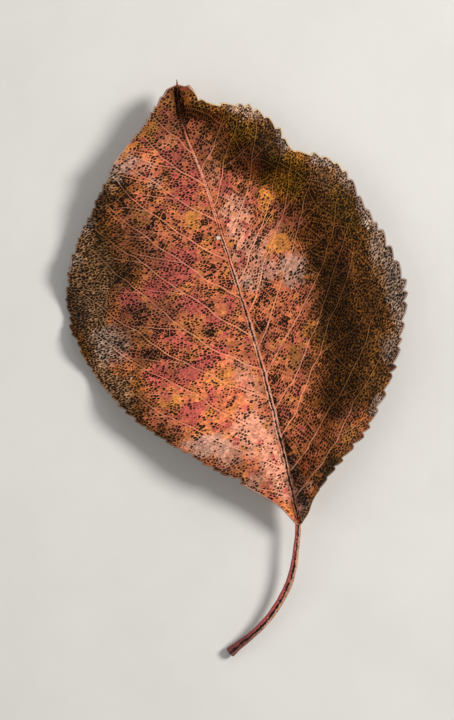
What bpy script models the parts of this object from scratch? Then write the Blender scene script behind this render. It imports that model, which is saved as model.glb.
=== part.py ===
"""Fallen leaf with its stalk, grown as one piece and lying on the ground.

Metres, +Z up. The line from the blade's base to its tip runs along +Y, the
upper side faces +Z, and the origin is the middle of the leaf's footprint.
"""

import math

import bmesh
import bpy
from mathutils import Vector

# ---------------------------------------------------------------- driving sizes

MM = 0.001

BLADE_LENGTH = 80.0
BLADE_THICKNESS = 0.38

# Where the blade's base point sits in the part's frame, in millimetres.
BASE_POINT = (0.505, -30.31, 4.53)

# How far the blade leans, as rise per millimetre, so that the leaf lies on
# the valley of its right half, its left margin and the end of its stalk.
LEAN_ACROSS = -0.0766
LEAN_ALONG = -0.0201

# Lines along the blade, as (height up the blade, distance from the base-tip
# line), in millimetres.
MIDRIB_LINE = [(0, 0.0), (12, 0.6), (31, 1.0), (49, 0.4), (62, -0.1), (73, -1.1), (80, 0.0)]
LEFT_MARGIN = [
    (0, -0.5), (4, -2.5), (8, -6.2), (16, -14.6), (24, -22.2), (32, -26.8), (40, -29.2),
    (47, -29.3), (52, -27.7), (58, -24.0), (64, -18.5), (69, -14.2), (74, -7.2), (80, -0.2),
]
RIGHT_MARGIN = [
    (0, 0.6), (4, 3.6), (8, 8.3), (13, 15.3), (19, 20.5), (25, 24.5), (31, 27.3),
    (36, 28.5), (43, 27.5), (50, 25.4), (56, 24.0), (59.6, 21.6), (62.6, 16.2),
    (66, 14.9), (69.5, 13.2), (72.4, 9.9), (74.3, 4.2), (76.5, 3.1), (80, 0.2),
]

# The stalk's middle line from the blade's base to its cut end, seen from
# above, and its radius at each point.
STALK_LINE = [
    (0.0, 0.9), (-0.5, -1.1), (-1.7, -4.2), (-2.9, -7.0), (-4.5, -9.6), (-6.4, -11.8),
    (-8.8, -14.0), (-11.2, -15.6), (-13.5, -16.8), (-15.8, -17.8), (-17.5, -18.6),
]
STALK_RADII = [0.56, 0.50, 0.54, 0.62, 0.66, 0.68, 0.68, 0.66, 0.68, 0.78, 0.96]
STALK_DROP_POWER = 1.5
END_HOLLOW_RADIUS = 0.80
GROOVE_DEPTH = 0.42
SECTION_SIDES = 10

# The midrib under the blade runs on from the stalk and thins to the tip.
MIDRIB_RADIUS_BASE = 0.56
MIDRIB_RADIUS_TIP = 0.16
MIDRIB_POINTS = 20
MIDRIB_END_HEIGHT = 77.5
CHANNEL_DEPTH = 0.32
CHANNEL_HALF_WIDTH = 0.70

# Side veins as (height where the vein leaves the midrib, its angle above the
# across line in degrees). Each one bends further towards the tip.
LEFT_VEINS = [
    (4.5, 30), (9.5, 34), (14.5, 38), (22.0, 38), (27.5, 42), (33.5, 43),
    (40.5, 46), (47.5, 48), (54.5, 49), (61.0, 50),
]
RIGHT_VEINS = [
    (4.0, 38), (9.0, 41), (15.0, 43), (20.0, 46), (25.5, 49), (31.0, 53),
    (37.0, 55), (43.0, 57), (50.0, 58), (57.0, 58),
]
VEIN_BEND = 0.55
VEIN_STEP = 3.2
VEIN_REACH = 0.80
VEIN_RADIUS = 0.33
VEIN_END_RADIUS = 0.24
VEIN_STAND_OUT = 0.06

# The blade's grid: rows up the leaf, and columns from midrib to margin. Every
# second row ends in the point of a tooth, which leans towards the tip.
TEETH = 40
COLUMN_SHARES = [0.0, 0.035, 0.13, 0.27, 0.42, 0.57, 0.71, 0.84, 0.93, 1.0]
TOOTH_DEPTH = 0.50
TOOTH_LEAN = 0.55
TOOTH_FADE = 0.09

# Steepest rise of the right half, and of both halves by the tip.
STEEPEST = 0.75
TIP_FOLD = 0.35


# ------------------------------------------------------------------ shape rules

def smooth_line(stations, along):
    """Value at a height on a smooth curve through (height, value) stations."""
    last = len(stations) - 1
    along = min(max(along, stations[0][0]), stations[last][0])
    start = 0
    while start < last - 1 and along > stations[start + 1][0]:
        start += 1

    def slope(index):
        before = stations[max(index - 1, 0)]
        after = stations[min(index + 1, last)]
        return (after[1] - before[1]) / (after[0] - before[0])

    low, low_value = stations[start]
    high, high_value = stations[start + 1]
    span = high - low
    t = (along - low) / span
    rise = t * t * (3 - 2 * t)
    bend_in = t * (1 - t) * (1 - t) * span * slope(start)
    bend_out = t * t * (t - 1) * span * slope(start + 1)
    return low_value + (high_value - low_value) * rise + bend_in + bend_out


def ease(value, start, end):
    """Soft step from 0 at start to 1 at end."""
    t = min(max((value - start) / (end - start), 0.0), 1.0)
    return t * t * (3 - 2 * t)


def left_height(across, width, y):
    """The left half rises in an arch and its margin curls down."""
    arch = 0.40 * across - 0.0168 * across * across
    fold_line = 66.5 + 0.15 * across
    fold = 0.9 * math.exp(-((y - fold_line) / 1.7) ** 2) * ease(across, 0, 6)
    ripple = 1.1 * math.sin(math.tau * y / 13 + 1) * (across / 30) ** 2
    return arch + fold + ripple


def right_height(across, width, y):
    """The right half dips into a valley, climbs and rolls over at its margin."""
    opening = ease(y, 6, 32)
    inner_slope = 0.42 - 0.50 * opening
    valley = 1 + 9 * opening - 4 * ease(y, 50, 65)
    crest = max(width - 3.5, 0.62 * width)
    climb = 2.5 + 4.8 * ease(y, 0, 25) - 3.2 * ease(y, 55, 77)
    climb = min(climb, STEEPEST * width)
    run = max(crest - valley, 0.5 * width)
    height = inner_slope * min(across, valley + 2)
    height += climb * ease(across, crest - run, crest)
    height -= 0.13 * max(across - crest, 0.0) ** 2
    wave = 0.9 * math.sin(math.tau * (y - 59) / 14) * ease(y, 30, 50)
    return height + wave * (across / width) ** 3


def blade_height(x, y):
    """Height of the blade's upper side over its base point."""
    middle = smooth_line(MIDRIB_LINE, y)
    across = abs(x - middle)
    height = 2.2 * ((y - 38) / 42) ** 2 + 2.2 * ease(y, 66, 80)
    height += TIP_FOLD * min(across, 3.0) * ease(y, 68, 77)
    if x > middle:
        width = smooth_line(RIGHT_MARGIN, y) - middle
        height += right_height(across, width, y)
    else:
        width = middle - smooth_line(LEFT_MARGIN, y)
        height += left_height(across, width, y)
    channel = CHANNEL_DEPTH * math.exp(-((across / CHANNEL_HALF_WIDTH) ** 2))
    return height - channel + LEAN_ACROSS * x + LEAN_ALONG * y


def place(x, y, z):
    """Leaf millimetres to the part's frame in metres."""
    height = z - blade_height(0.0, 0.0)
    return Vector((x + BASE_POINT[0], y + BASE_POINT[1], height + BASE_POINT[2])) * MM


def row_heights(count):
    """Heights of the grid's rows, at equal steps along the two margins."""
    steps = 400
    walked = [0.0]
    for step in range(steps):
        low = BLADE_LENGTH * step / steps
        high = BLADE_LENGTH * (step + 1) / steps
        run = 0.0
        for margin in (LEFT_MARGIN, RIGHT_MARGIN):
            run += math.hypot(high - low, smooth_line(margin, high) - smooth_line(margin, low))
        walked.append(walked[-1] + run)
    heights = []
    step = 0
    for row in range(count + 1):
        target = walked[-1] * row / count
        while step < steps - 1 and walked[step + 1] < target:
            step += 1
        part = (target - walked[step]) / (walked[step + 1] - walked[step])
        heights.append(BLADE_LENGTH * (step + part) / steps)
    return heights


def stalk_fall(index):
    """How far a point of the stalk's middle line lies below the base point.

    The cut end's rim rests on the ground.
    """
    share = index / (len(STALK_LINE) - 1)
    start = STALK_RADII[0]
    end = BASE_POINT[2] - STALK_RADII[-1]
    return start + (end - start) * share ** STALK_DROP_POWER


def vein_path(start, degrees, side):
    """Points of a side vein, from the midrib to just short of the margin."""
    margin = RIGHT_MARGIN if side > 0 else LEFT_MARGIN
    x, y = smooth_line(MIDRIB_LINE, start), start
    angle = math.radians(degrees)
    points = [(x, y)]
    while True:
        x += side * VEIN_STEP * math.cos(angle)
        y += VEIN_STEP * math.sin(angle)
        angle += VEIN_BEND * VEIN_STEP / BLADE_LENGTH
        middle = smooth_line(MIDRIB_LINE, y)
        limit = VEIN_REACH * (smooth_line(margin, y) - middle)
        if y > BLADE_LENGTH - 1 or side * (x - middle) > side * limit:
            return points
        points.append((x, y))


# -------------------------------------------------------------------- modelling

def clear_scene():
    for item in list(bpy.data.objects):
        bpy.data.objects.remove(item)


def make_collection(name):
    collection = bpy.data.collections.new(name)
    bpy.context.scene.collection.children.link(collection)
    return collection


def make_material(name, colour, roughness):
    material = bpy.data.materials.new(name)
    material.use_nodes = True
    shader = material.node_tree.nodes["Principled BSDF"]
    shader.inputs["Base Color"].default_value = (*colour, 1.0)
    shader.inputs["Roughness"].default_value = roughness
    shader.inputs["Metallic"].default_value = 0.0
    return material


def make_blade(collection):
    """The blade: a flat grid drawn out to the toothed outline and curled."""
    rows = 2 * TEETH
    half = len(COLUMN_SHARES) - 1
    heights = row_heights(rows)
    mesh = bpy.data.meshes.new("leaf")
    shape = bmesh.new()
    bmesh.ops.create_grid(shape, x_segments=2 * half, y_segments=rows, size=1.0)
    for vert in shape.verts:
        column = round((vert.co.x + 1) * half) - half
        row = round((vert.co.y + 1) * rows / 2)
        y = heights[row]
        middle = smooth_line(MIDRIB_LINE, y)
        margin = smooth_line(RIGHT_MARGIN if column > 0 else LEFT_MARGIN, y)
        x = middle + (margin - middle) * COLUMN_SHARES[abs(column)]
        z = blade_height(x, y)
        if abs(column) == half and row % 2:
            size = ease(y, 0, TOOTH_FADE * BLADE_LENGTH)
            size *= 1 - ease(y, (1 - TOOTH_FADE) * BLADE_LENGTH, BLADE_LENGTH - 1)
            x += math.copysign(TOOTH_DEPTH * size, column)
            y += TOOTH_LEAN * size
        vert.co = place(x, y, z)
    shape.to_mesh(mesh)
    shape.free()
    blade = bpy.data.objects.new("leaf", mesh)
    collection.objects.link(blade)
    thickness = blade.modifiers.new("Thickness", "SOLIDIFY")
    thickness.thickness = BLADE_THICKNESS * MM
    thickness.offset = -1.0
    return blade


def groove_section(collection):
    """Cross-section of stalk and midrib: round, with a groove on its upper side."""
    data = bpy.data.curves.new("groove_section", "CURVE")
    data.dimensions = "2D"
    spline = data.splines.new("POLY")
    spline.points.add(SECTION_SIDES - 1)
    for index, point in enumerate(spline.points):
        angle = math.tau * index / SECTION_SIDES
        radius = 1.0
        if index == 0:
            radius = 1.0 - GROOVE_DEPTH
        point.co = (-radius * math.sin(angle) * MM, radius * math.cos(angle) * MM, 0.0, 1.0)
    spline.use_cyclic_u = True
    section = bpy.data.objects.new("groove_section", data)
    collection.objects.link(section)
    return section


def solid_from_path(name, points, radii, collection, section=None):
    """A closed tapering rod along a path, as a mesh ready for a union."""
    data = bpy.data.curves.new(name, "CURVE")
    data.dimensions = "3D"
    data.twist_mode = "Z_UP"
    data.use_fill_caps = True
    if section is None:
        data.bevel_depth = MM
        data.bevel_resolution = 0
    else:
        data.bevel_mode = "OBJECT"
        data.bevel_object = section
    spline = data.splines.new("POLY")
    spline.points.add(len(points) - 1)
    for point, place_at, radius in zip(spline.points, points, radii):
        point.co = (*place_at, 1.0)
        point.radius = radius
    path = bpy.data.objects.new(name + "_path", data)
    collection.objects.link(path)
    graph = bpy.context.evaluated_depsgraph_get()
    mesh = bpy.data.meshes.new_from_object(path.evaluated_get(graph))
    shape = bmesh.new()
    shape.from_mesh(mesh)
    bmesh.ops.remove_doubles(shape, verts=shape.verts, dist=0.00001)
    bmesh.ops.recalc_face_normals(shape, faces=shape.faces)
    shape.to_mesh(mesh)
    shape.free()
    solid = bpy.data.objects.new(name, mesh)
    solid.matrix_world = path.matrix_world
    collection.objects.link(solid)
    bpy.data.objects.remove(path)
    hide_helper(solid)
    return solid


def hide_helper(item):
    item.hide_render = True
    item.display_type = "WIRE"


def make_stalk_and_midrib(collection):
    """One grooved rod: the stalk from its cut end, and the midrib up to the tip."""
    points = []
    radii = []
    for index in range(len(STALK_LINE) - 1, 0, -1):
        x, y = STALK_LINE[index]
        points.append(place(x, y, blade_height(0.0, 0.0) - stalk_fall(index)))
        radii.append(STALK_RADII[index])
    for index in range(MIDRIB_POINTS + 1):
        share = index / MIDRIB_POINTS
        y = 1.0 + (MIDRIB_END_HEIGHT - 1.0) * share
        x = smooth_line(MIDRIB_LINE, y)
        radius = MIDRIB_RADIUS_BASE + (MIDRIB_RADIUS_TIP - MIDRIB_RADIUS_BASE) * share
        points.append(place(x, y, blade_height(x, y) - radius - 0.03))
        radii.append(radius)
    section = groove_section(collection)
    rod = solid_from_path("stalk_and_midrib", points, radii, collection, section)
    bpy.data.objects.remove(section)
    return rod


def make_side_veins(collection):
    veins = []
    for side, starts in ((-1, LEFT_VEINS), (1, RIGHT_VEINS)):
        for number, (start, degrees) in enumerate(starts):
            path = vein_path(start, degrees, side)
            points = []
            radii = []
            for index, (x, y) in enumerate(path):
                share = index / (len(path) - 1)
                z = blade_height(x, y) - BLADE_THICKNESS - VEIN_STAND_OUT
                points.append(place(x, y, z))
                radii.append(VEIN_RADIUS + (VEIN_END_RADIUS - VEIN_RADIUS) * share)
            name = "vein_" + ("left_" if side < 0 else "right_") + str(number)
            veins.append(solid_from_path(name, points, radii, collection))
    return veins


def make_end_hollow(collection):
    """Cutter for the hollow in the stalk's cut end."""
    x, y = STALK_LINE[-1]
    fall = stalk_fall(len(STALK_LINE) - 1)
    centre = place(x - 0.45, y - 0.2, blade_height(0.0, 0.0) - fall)
    mesh = bpy.data.meshes.new("end_hollow")
    shape = bmesh.new()
    bmesh.ops.create_uvsphere(shape, u_segments=12, v_segments=8, radius=END_HOLLOW_RADIUS * MM)
    bmesh.ops.translate(shape, verts=shape.verts, vec=centre)
    shape.to_mesh(mesh)
    shape.free()
    hollow = bpy.data.objects.new("end_hollow", mesh)
    collection.objects.link(hollow)
    hide_helper(hollow)
    return hollow


def join(target, tool, operation):
    boolean = target.modifiers.new(tool.name, "BOOLEAN")
    boolean.operation = operation
    boolean.solver = "EXACT"
    boolean.object = tool


def main():
    clear_scene()
    leaf_collection = make_collection("leaf_part")
    helpers = make_collection("cutters")
    leaf = make_blade(leaf_collection)
    join(leaf, make_stalk_and_midrib(helpers), "UNION")
    for vein in make_side_veins(helpers):
        join(leaf, vein, "UNION")
    join(leaf, make_end_hollow(helpers), "DIFFERENCE")
    leaf.data.materials.append(make_material("dry_leaf", (0.42, 0.16, 0.07), 0.55))


main()
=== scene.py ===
"""A dried leaf on a pale floor: blade with its vein net, veins, rim, midrib and stalk."""

import math
import random

import bmesh
import bpy
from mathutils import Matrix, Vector, geometry, kdtree, noise


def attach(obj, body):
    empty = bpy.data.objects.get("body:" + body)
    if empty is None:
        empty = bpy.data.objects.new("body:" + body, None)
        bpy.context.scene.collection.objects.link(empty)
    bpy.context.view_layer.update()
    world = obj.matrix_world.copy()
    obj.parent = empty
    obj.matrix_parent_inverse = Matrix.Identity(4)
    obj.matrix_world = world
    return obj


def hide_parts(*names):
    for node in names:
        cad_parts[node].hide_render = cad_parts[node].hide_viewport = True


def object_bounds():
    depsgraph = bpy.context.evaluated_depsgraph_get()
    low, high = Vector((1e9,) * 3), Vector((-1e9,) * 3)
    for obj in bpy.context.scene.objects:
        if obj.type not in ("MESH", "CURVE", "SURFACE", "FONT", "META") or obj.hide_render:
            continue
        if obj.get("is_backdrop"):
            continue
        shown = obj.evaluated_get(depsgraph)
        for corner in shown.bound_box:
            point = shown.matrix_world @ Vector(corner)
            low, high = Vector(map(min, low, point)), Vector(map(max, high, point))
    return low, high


bl_info = {
    "name": "Dried Leaf",
    "version": (1, 0, 0),
    "blender": (4, 5, 0),
    "location": "3D View > Sidebar > Leaf",
    "description": "Builds a curled dried leaf with a net of veins on its frame",
    "category": "Add Mesh",
}

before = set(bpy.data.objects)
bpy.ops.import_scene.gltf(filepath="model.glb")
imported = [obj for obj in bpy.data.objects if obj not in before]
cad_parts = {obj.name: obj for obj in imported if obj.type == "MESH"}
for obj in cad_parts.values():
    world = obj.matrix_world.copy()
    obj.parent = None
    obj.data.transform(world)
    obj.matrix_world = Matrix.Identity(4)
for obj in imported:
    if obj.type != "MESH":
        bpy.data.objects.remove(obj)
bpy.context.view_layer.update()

MM = 0.001

# ------------------------------------------------------------------ leaf shape
# Lines up the blade, in millimetres: (height over the base, place across).

BLADE_LENGTH = 80.0
# The margins close at this height, so that the tip's corner stays blunt.
BLADE_TOP = 79.0
BASE_POINT = (0.505, -30.31, 4.53)
LEAN_ACROSS = -0.0766
LEAN_ALONG = -0.0201
MIDRIB_LINE = [(0, 0.0), (12, 0.6), (31, 1.0), (49, 0.4), (62, -0.1), (73, -1.1), (80, 0.0)]
LEFT_MARGIN = [
    (0, -0.25), (4, -2.5), (8, -6.2), (16, -14.6), (24, -22.2), (32, -26.8), (40, -29.2),
    (47, -29.3), (52, -27.7), (58, -24.0), (64, -18.5), (69, -14.2), (74, -7.2), (80, -0.2),
]
RIGHT_MARGIN = [
    (0, 0.25), (1.6, 1.9), (4, 3.6), (8, 8.3), (13, 15.3), (19, 20.5), (25, 24.5), (31, 27.3),
    (36, 28.5), (43, 27.5), (50, 25.4), (56, 24.0), (59.6, 21.6), (62.6, 16.2),
    (66, 14.9), (69.5, 13.2), (72.4, 9.9), (74.0, 4.2), (75.2, 2.9), (76.2, 2.4), (77.2, 1.3),
    (78.2, 0.7), (80, 0.3),
]
# A small tear in the left margin.
TEAR_HEIGHT = 10.6
TEAR_DEPTH = 1.1
TEAR_WIDTH = 0.7
# The channel that the midrib lies in.
CHANNEL_DEPTH = 0.32
CHANNEL_HALF_WIDTH = 0.70
# Highest climb of the right half as a share of its width.
STEEPEST = 0.75
# Slope of both halves beside the midrib near the tip.
TIP_FOLD = 0.35
SPECK_PLACE = (-0.4, 51.7)
SPECK_HALF_SIZES = (0.46, 0.36, 0.15)

# Side veins: (height where the vein leaves the midrib, degrees above level).
LEFT_VEINS = [
    (4.5, 30), (9.5, 34), (14.5, 38), (22.0, 38), (27.5, 42), (33.5, 43),
    (40.5, 46), (47.5, 48), (54.5, 49), (61.0, 50), (67.0, 52),
]
RIGHT_VEINS = [
    (4.0, 38), (9.0, 41), (15.0, 43), (20.0, 46), (25.5, 49), (31.0, 53),
    (37.0, 55), (43.0, 57), (50.0, 58), (57.0, 58), (63.5, 56),
]
VEIN_BEND = 0.55
VEIN_STEP = 0.5
LONGEST_VEIN = 120
MEETING_DISTANCE = 0.45
FORK_SHARES = (0.42, 0.68)
FORK_TURN = 0.55
FORK_BEND = 0.45
# Radii of a vein where it starts and where it ends.
TRUNK_RADII = (0.30, 0.08)
FORK_RADII = (0.15, 0.07)
CROSS_RADII = (0.12, 0.09)
CROSS_STEP = 0.4
LONGEST_CROSSING = 22
CROSSING_GAP = 1.3
CROSSING_BUCKET = 2.0

# Direction in which each half's cells are long, in degrees, and their width to length.
CELL_LEAN = {1: 36.0, -1: 6.0}
CELL_SHORTENING = 0.62
NET_TRIES = 120000
NET_BUCKET = 0.6
# Furthest that a corner of the net may lie from the mean of its three cells.
CORNER_REACH = 0.20

# The stalk's middle line from the base to its cut end, and its radii.
STALK_LINE = [
    (0.0, 0.9), (-0.5, -1.1), (-1.7, -4.2), (-2.9, -7.0), (-4.5, -9.6), (-6.4, -11.8),
    (-8.8, -14.0), (-11.2, -15.6), (-13.5, -16.8), (-15.8, -17.8), (-17.5, -18.6),
]
STALK_RADII = [0.56, 0.50, 0.54, 0.62, 0.66, 0.68, 0.68, 0.66, 0.68, 0.78, 0.96]
STALK_DROP_POWER = 1.5
STALK_END_FALL = 0.28
MIDRIB_START = 1.4
MIDRIB_RUN = 78.5

# ----------------------------------------------------------------- colour zones
# The warm middle of the blade lies between these two lines.

WARM_LEFT = [
    (0, -1.5), (5, -5.0), (10, -9.0), (15, -14.0), (20, -17.5), (25, -19.0), (30, -20.0),
    (35, -20.0), (40, -19.5), (46, -19.5), (50, -15.5), (55, -14.5), (60, -14.0), (65, -12.5),
    (70, -14.0), (74, -8.0), (80, -1.5),
]
WARM_RIGHT = [
    (0, 0.9), (5, 1.2), (10, 1.6), (15, 3.0), (20, 6.6), (25, 8.0), (30, 9.2), (35, 11.2),
    (40, 13.0), (45, 13.6), (50, 13.0), (55, 11.2), (60, 6.2), (65, 2.4), (70, 1.6), (80, 0.5),
]

# Patches as (across, height, half width, half height, turn in degrees, strength).
ROSE_PATCHES = [
    (-8.0, 49.0, 3.6, 3.0, 10, 0.9), (-12.2, 46.2, 3.2, 2.2, 20, 0.8), (-18.0, 45.6, 1.8, 1.8, 0, 1.0),
    (-6.3, 32.2, 2.8, 1.3, 30, 0.8), (-11.6, 30.4, 3.4, 1.7, 15, 1.0), (-16.6, 31.6, 2.4, 1.8, 0, 0.9),
    (-12.6, 24.2, 3.0, 1.2, 15, 0.9), (-7.6, 41.6, 2.8, 1.6, -35, 0.9), (-1.4, 39.8, 1.0, 1.8, 0, 0.7),
    (-11.5, 36.0, 3.0, 1.4, -30, 0.6), (7.7, 56.4, 1.2, 1.0, 0, 0.7), (3.2, 60.5, 1.8, 2.2, 0, 0.6),
    (-4.2, 60.6, 2.6, 2.6, 0, 0.6), (-4.0, 67.2, 2.6, 2.2, 0, 0.6), (14.0, 15.5, 1.2, 0.7, 20, 0.6),
    (-8.0, 20.0, 2.4, 0.9, 15, 0.5), (3.0, 46.8, 0.9, 0.8, 0, 0.8), (-3.4, 25.5, 2.0, 1.0, 25, 0.4),
    (-1.8, 63.4, 1.6, 2.0, 0, 0.5), (-4.6, 38.0, 1.6, 1.0, -30, 0.6),
]
PINK_PATCHES = [
    (3.6, 54.6, 2.6, 4.6, -6, 1.0), (4.4, 48.6, 3.4, 3.0, 0, 1.0), (-3.2, 17.2, 3.6, 4.6, 20, 1.0),
    (-1.2, 9.6, 2.4, 6.0, 12, 0.9), (-2.0, 26.0, 2.0, 5.0, 10, 0.6), (3.6, 43.4, 3.6, 2.6, 0, 0.8),
    (-8.2, 14.6, 3.6, 2.0, 25, 0.8), (3.2, 6.4, 1.2, 1.6, -25, 0.9), (1.6, 63.0, 1.4, 3.4, -6, 0.5),
    (-9.6, 66.4, 2.4, 1.2, 20, 0.6),
    (9.6, 49.8, 2.4, 1.4, 30, 0.5), (-5.6, 70.0, 2.0, 1.2, 0, 0.4),
]
GOLD_PATCHES = [
    (9.4, 55.0, 1.8, 3.6, -10, 1.0), (10.1, 48.4, 3.0, 1.8, 25, 0.9), (-3.8, 55.6, 1.0, 1.6, 50, 1.0),
    (11.3, 32.7, 1.8, 0.9, 40, 0.8), (-14.2, 29.9, 1.3, 0.9, 0, 1.0), (-18.0, 38.4, 2.6, 2.4, 30, 0.5),
    (-4.2, 33.2, 1.0, 0.7, 0, 0.8), (-6.6, 27.9, 3.2, 1.3, 25, 0.6), (-15.6, 26.6, 2.8, 1.1, 10, 0.7),
    (12.6, 12.8, 2.6, 1.2, 45, 0.9), (1.4, 75.8, 1.2, 2.0, 0, 0.7), (-2.6, 76.6, 1.4, 2.6, 30, 0.8),
    (-7.0, 72.8, 3.4, 1.8, 40, 0.7), (6.6, 28.0, 1.8, 1.4, 30, 0.6), (-8.6, 36.0, 3.0, 1.1, 30, 0.4),
    (-12.5, 58.5, 2.0, 1.6, 30, 0.7), (-11.6, 70.6, 2.4, 1.6, 20, 0.6), (8.8, 60.4, 1.2, 2.2, -15, 0.6),
]
# Silver patches: bleached bloom, and partly painted sheen highlight where the blade curves towards the
# light.
SILVER_PATCHES = [
    (10.8, 43.2, 2.4, 3.0, -10, 1.0), (6.8, 44.4, 1.8, 2.0, 0, 0.6), (27.4, 34.0, 2.0, 9.5, -4, 0.8),
    (23.6, 25.2, 2.0, 3.0, -30, 0.6), (10.2, 71.8, 3.8, 1.6, -30, 0.55), (-23.4, 38.6, 3.2, 3.6, 20, 0.7),
    (-11.6, 17.4, 4.2, 1.9, -15, 0.9), (-8.5, 63.8, 1.6, 1.0, 0, 0.6), (15.0, 66.4, 1.2, 3.4, 5, 0.8),
    (20.6, 60.2, 2.6, 1.6, -25, 0.8), (26.2, 49.0, 1.6, 5.0, 8, 0.8), (-6.0, 8.8, 2.4, 1.4, 40, 0.6),
    (1.3, 3.4, 0.8, 3.4, -8, 0.8), (1.7, 9.0, 0.5, 3.0, 4, 0.5),
    (-13.2, 67.6, 3.4, 1.4, 15, 0.9), (2.3, 43.1, 0.9, 0.55, 35, 1.0), (18.6, 16.4, 1.8, 1.2, 40, 0.8),
    (-22.0, 60.0, 2.2, 1.6, 30, 0.6), (-25.6, 54.0, 1.4, 1.2, 20, 0.5),
    (26.4, 42.0, 2.0, 3.0, 0, 0.6), (10.6, 7.8, 1.0, 0.8, 0, 0.6), (24.0, 56.0, 1.6, 2.6, 20, 0.6),
]
# Blotches darken whole cells; the long one right of the midrib's base is painted shadow of the midrib.
BLOTCHES_AND_MIDRIB_SHADOW = [
    (-9.1, 57.8, 1.6, 1.2, 20, 1.0), (-1.8, 55.0, 0.8, 0.7, 0, 1.0), (-3.6, 52.4, 1.1, 0.7, 30, 1.0),
    (3.0, 35.0, 1.6, 1.0, 20, 1.0), (-0.4, 43.4, 0.7, 0.9, 0, 0.9), (-2.5, 42.7, 0.8, 0.5, 0, 1.0),
    (-6.3, 36.3, 1.3, 1.2, 30, 1.0), (-0.7, 35.3, 1.0, 1.2, 0, 0.9), (6.8, 34.6, 1.3, 0.8, 20, 0.9),
    (6.3, 49.3, 0.7, 1.3, -20, 0.7), (8.6, 53.0, 0.6, 1.7, -50, 0.9), (-9.8, 62.0, 1.6, 1.1, 20, 0.8),
    (-13.8, 38.6, 2.2, 1.0, -35, 0.9), (-16.2, 35.0, 2.6, 1.3, -20, 0.9), (-9.0, 10.6, 1.2, 0.8, 15, 0.9),
    (-6.4, 23.2, 0.9, 0.5, 0, 0.8), (-4.6, 20.2, 0.9, 0.5, 20, 0.7), (2.6, 25.4, 0.8, 1.1, 0, 0.8),
    (4.6, 63.2, 0.8, 0.8, 0, 0.9), (6.0, 59.6, 0.7, 0.9, 0, 0.9), (-5.6, 64.6, 1.0, 0.7, 0, 0.8),
    (-17.8, 50.0, 2.4, 1.4, 20, 0.6), (-10.6, 52.8, 1.5, 0.8, 30, 0.7), (3.6, 18.4, 0.9, 0.8, 0, 0.8),
    (-1.2, 71.0, 0.6, 2.6, 5, 0.9), (-0.6, 76.8, 0.6, 2.6, 8, 1.0), (-14.6, 62.0, 2.2, 1.6, 30, 0.7),
    (-16.8, 42.4, 2.0, 1.6, 0, 0.8), (-3.0, 46.6, 0.9, 1.2, 0, 0.6), (3.4, 39.4, 1.6, 1.0, 0, 0.7),
    (-12.4, 20.4, 1.8, 0.9, -20, 0.7), (1.5, 16.0, 0.8, 13.0, 2, 0.85), (6.0, 41.0, 1.0, 1.4, 0, 0.6),
    (-11.0, 54.8, 1.2, 0.8, 0, 0.6), (-13.6, 64.6, 1.4, 1.2, 0, 0.7),
]
CLEAN_PATCHES = [
    (3.2, 6.4, 1.2, 1.6, -25, 0.9),
    (-9.0, 20.6, 8.0, 7.0, -30, 0.9), (-12.0, 28.0, 4.0, 2.4, 20, 0.6), (-5.6, 34.0, 1.8, 3.0, 0, 0.4),
    (-4.6, 16.0, 5.6, 8.0, 20, 1.0), (-2.6, 26.0, 3.0, 5.0, 10, 0.8), (3.6, 54.0, 2.6, 5.0, -6, 0.8),
    (10.0, 49.0, 2.8, 2.6, 0, 0.8), (5.0, 47.4, 3.4, 2.4, 0, 0.6), (-2.4, 5.0, 2.6, 4.0, 20, 0.8),
    (-9.0, 28.0, 4.0, 1.6, 20, 0.5), (-3.8, 56.0, 1.4, 1.4, 0, 0.6),
]
# Painted shade: these patches darken the skin's colour where the curled blade lies in shade.
SHADE_PATCHES = [
    (17.6, 44.0, 3.0, 12.0, -4, 1.0), (12.2, 64.0, 3.2, 3.4, -30, 1.0), (16.4, 31.0, 3.4, 7.0, 8, 0.7),
    (8.0, 65.0, 2.4, 2.4, 0, 0.6), (13.0, 20.0, 4.0, 5.0, -20, 0.6), (-28.0, 46.0, 2.0, 5.0, 0, 0.8),
    (3.2, 71.4, 1.4, 1.6, 0, 0.5), (-18.6, 63.0, 2.4, 2.0, 30, 0.9), (0.8, 14.0, 0.8, 9.0, 0, 0.5),
    (-13.0, 57.5, 2.6, 3.4, 0, 0.85), (-13.0, 52.0, 3.4, 3.2, 0, 0.70), (-18.0, 53.5, 3.2, 6.0, 0, 0.50),
    (-13.0, 42.0, 3.2, 2.6, 0, 0.70), (-18.0, 41.5, 3.4, 3.6, 0, 0.75), (-18.0, 36.6, 3.0, 2.6, 0, 0.60),
    (-3.0, 73.4, 3.2, 3.2, 0, 0.95), (-7.6, 72.4, 2.8, 2.6, 30, 0.55), (-2.4, 77.4, 2.0, 2.4, 30, 0.70),
    (2.6, 67.5, 2.6, 4.0, 0, 0.50), (-2.6, 67.0, 2.6, 2.6, 0, 0.35), (12.6, 51.0, 2.4, 3.0, 0, 0.50),
    (7.6, 27.5, 2.2, 3.4, 0, 0.55), (12.6, 37.0, 2.2, 3.4, 0, 0.45), (-22.6, 27.0, 2.4, 2.6, 0, 0.40),
    (22.6, 50.0, 2.4, 5.0, 0, 0.50), (22.6, 34.0, 2.2, 6.0, 0, 0.45), (22.6, 24.0, 2.2, 4.0, -30, 0.45),
    (17.6, 20.0, 2.4, 4.0, -20, 0.35), (-9.4, 12.0, 3.4, 2.6, 30, 0.60), (7.0, 7.4, 2.0, 3.4, -30, 0.80),
    (12.6, 12.4, 2.2, 2.0, 0, 0.45), (-18.0, 21.0, 2.6, 3.0, 0, 0.55), (2.4, 32.0, 2.2, 3.0, 0, 0.35),
    (-17.6, 16.8, 2.8, 1.8, -30, 0.35), (-4.6, 9.4, 2.4, 2.6, 0, 0.30), (-19.4, 61.0, 2.0, 3.0, 0, 0.40),
    (-28.4, 51.0, 1.6, 5.0, 0, 0.50), (27.4, 37.0, 1.8, 8.0, 0, 0.40),
]
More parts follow.
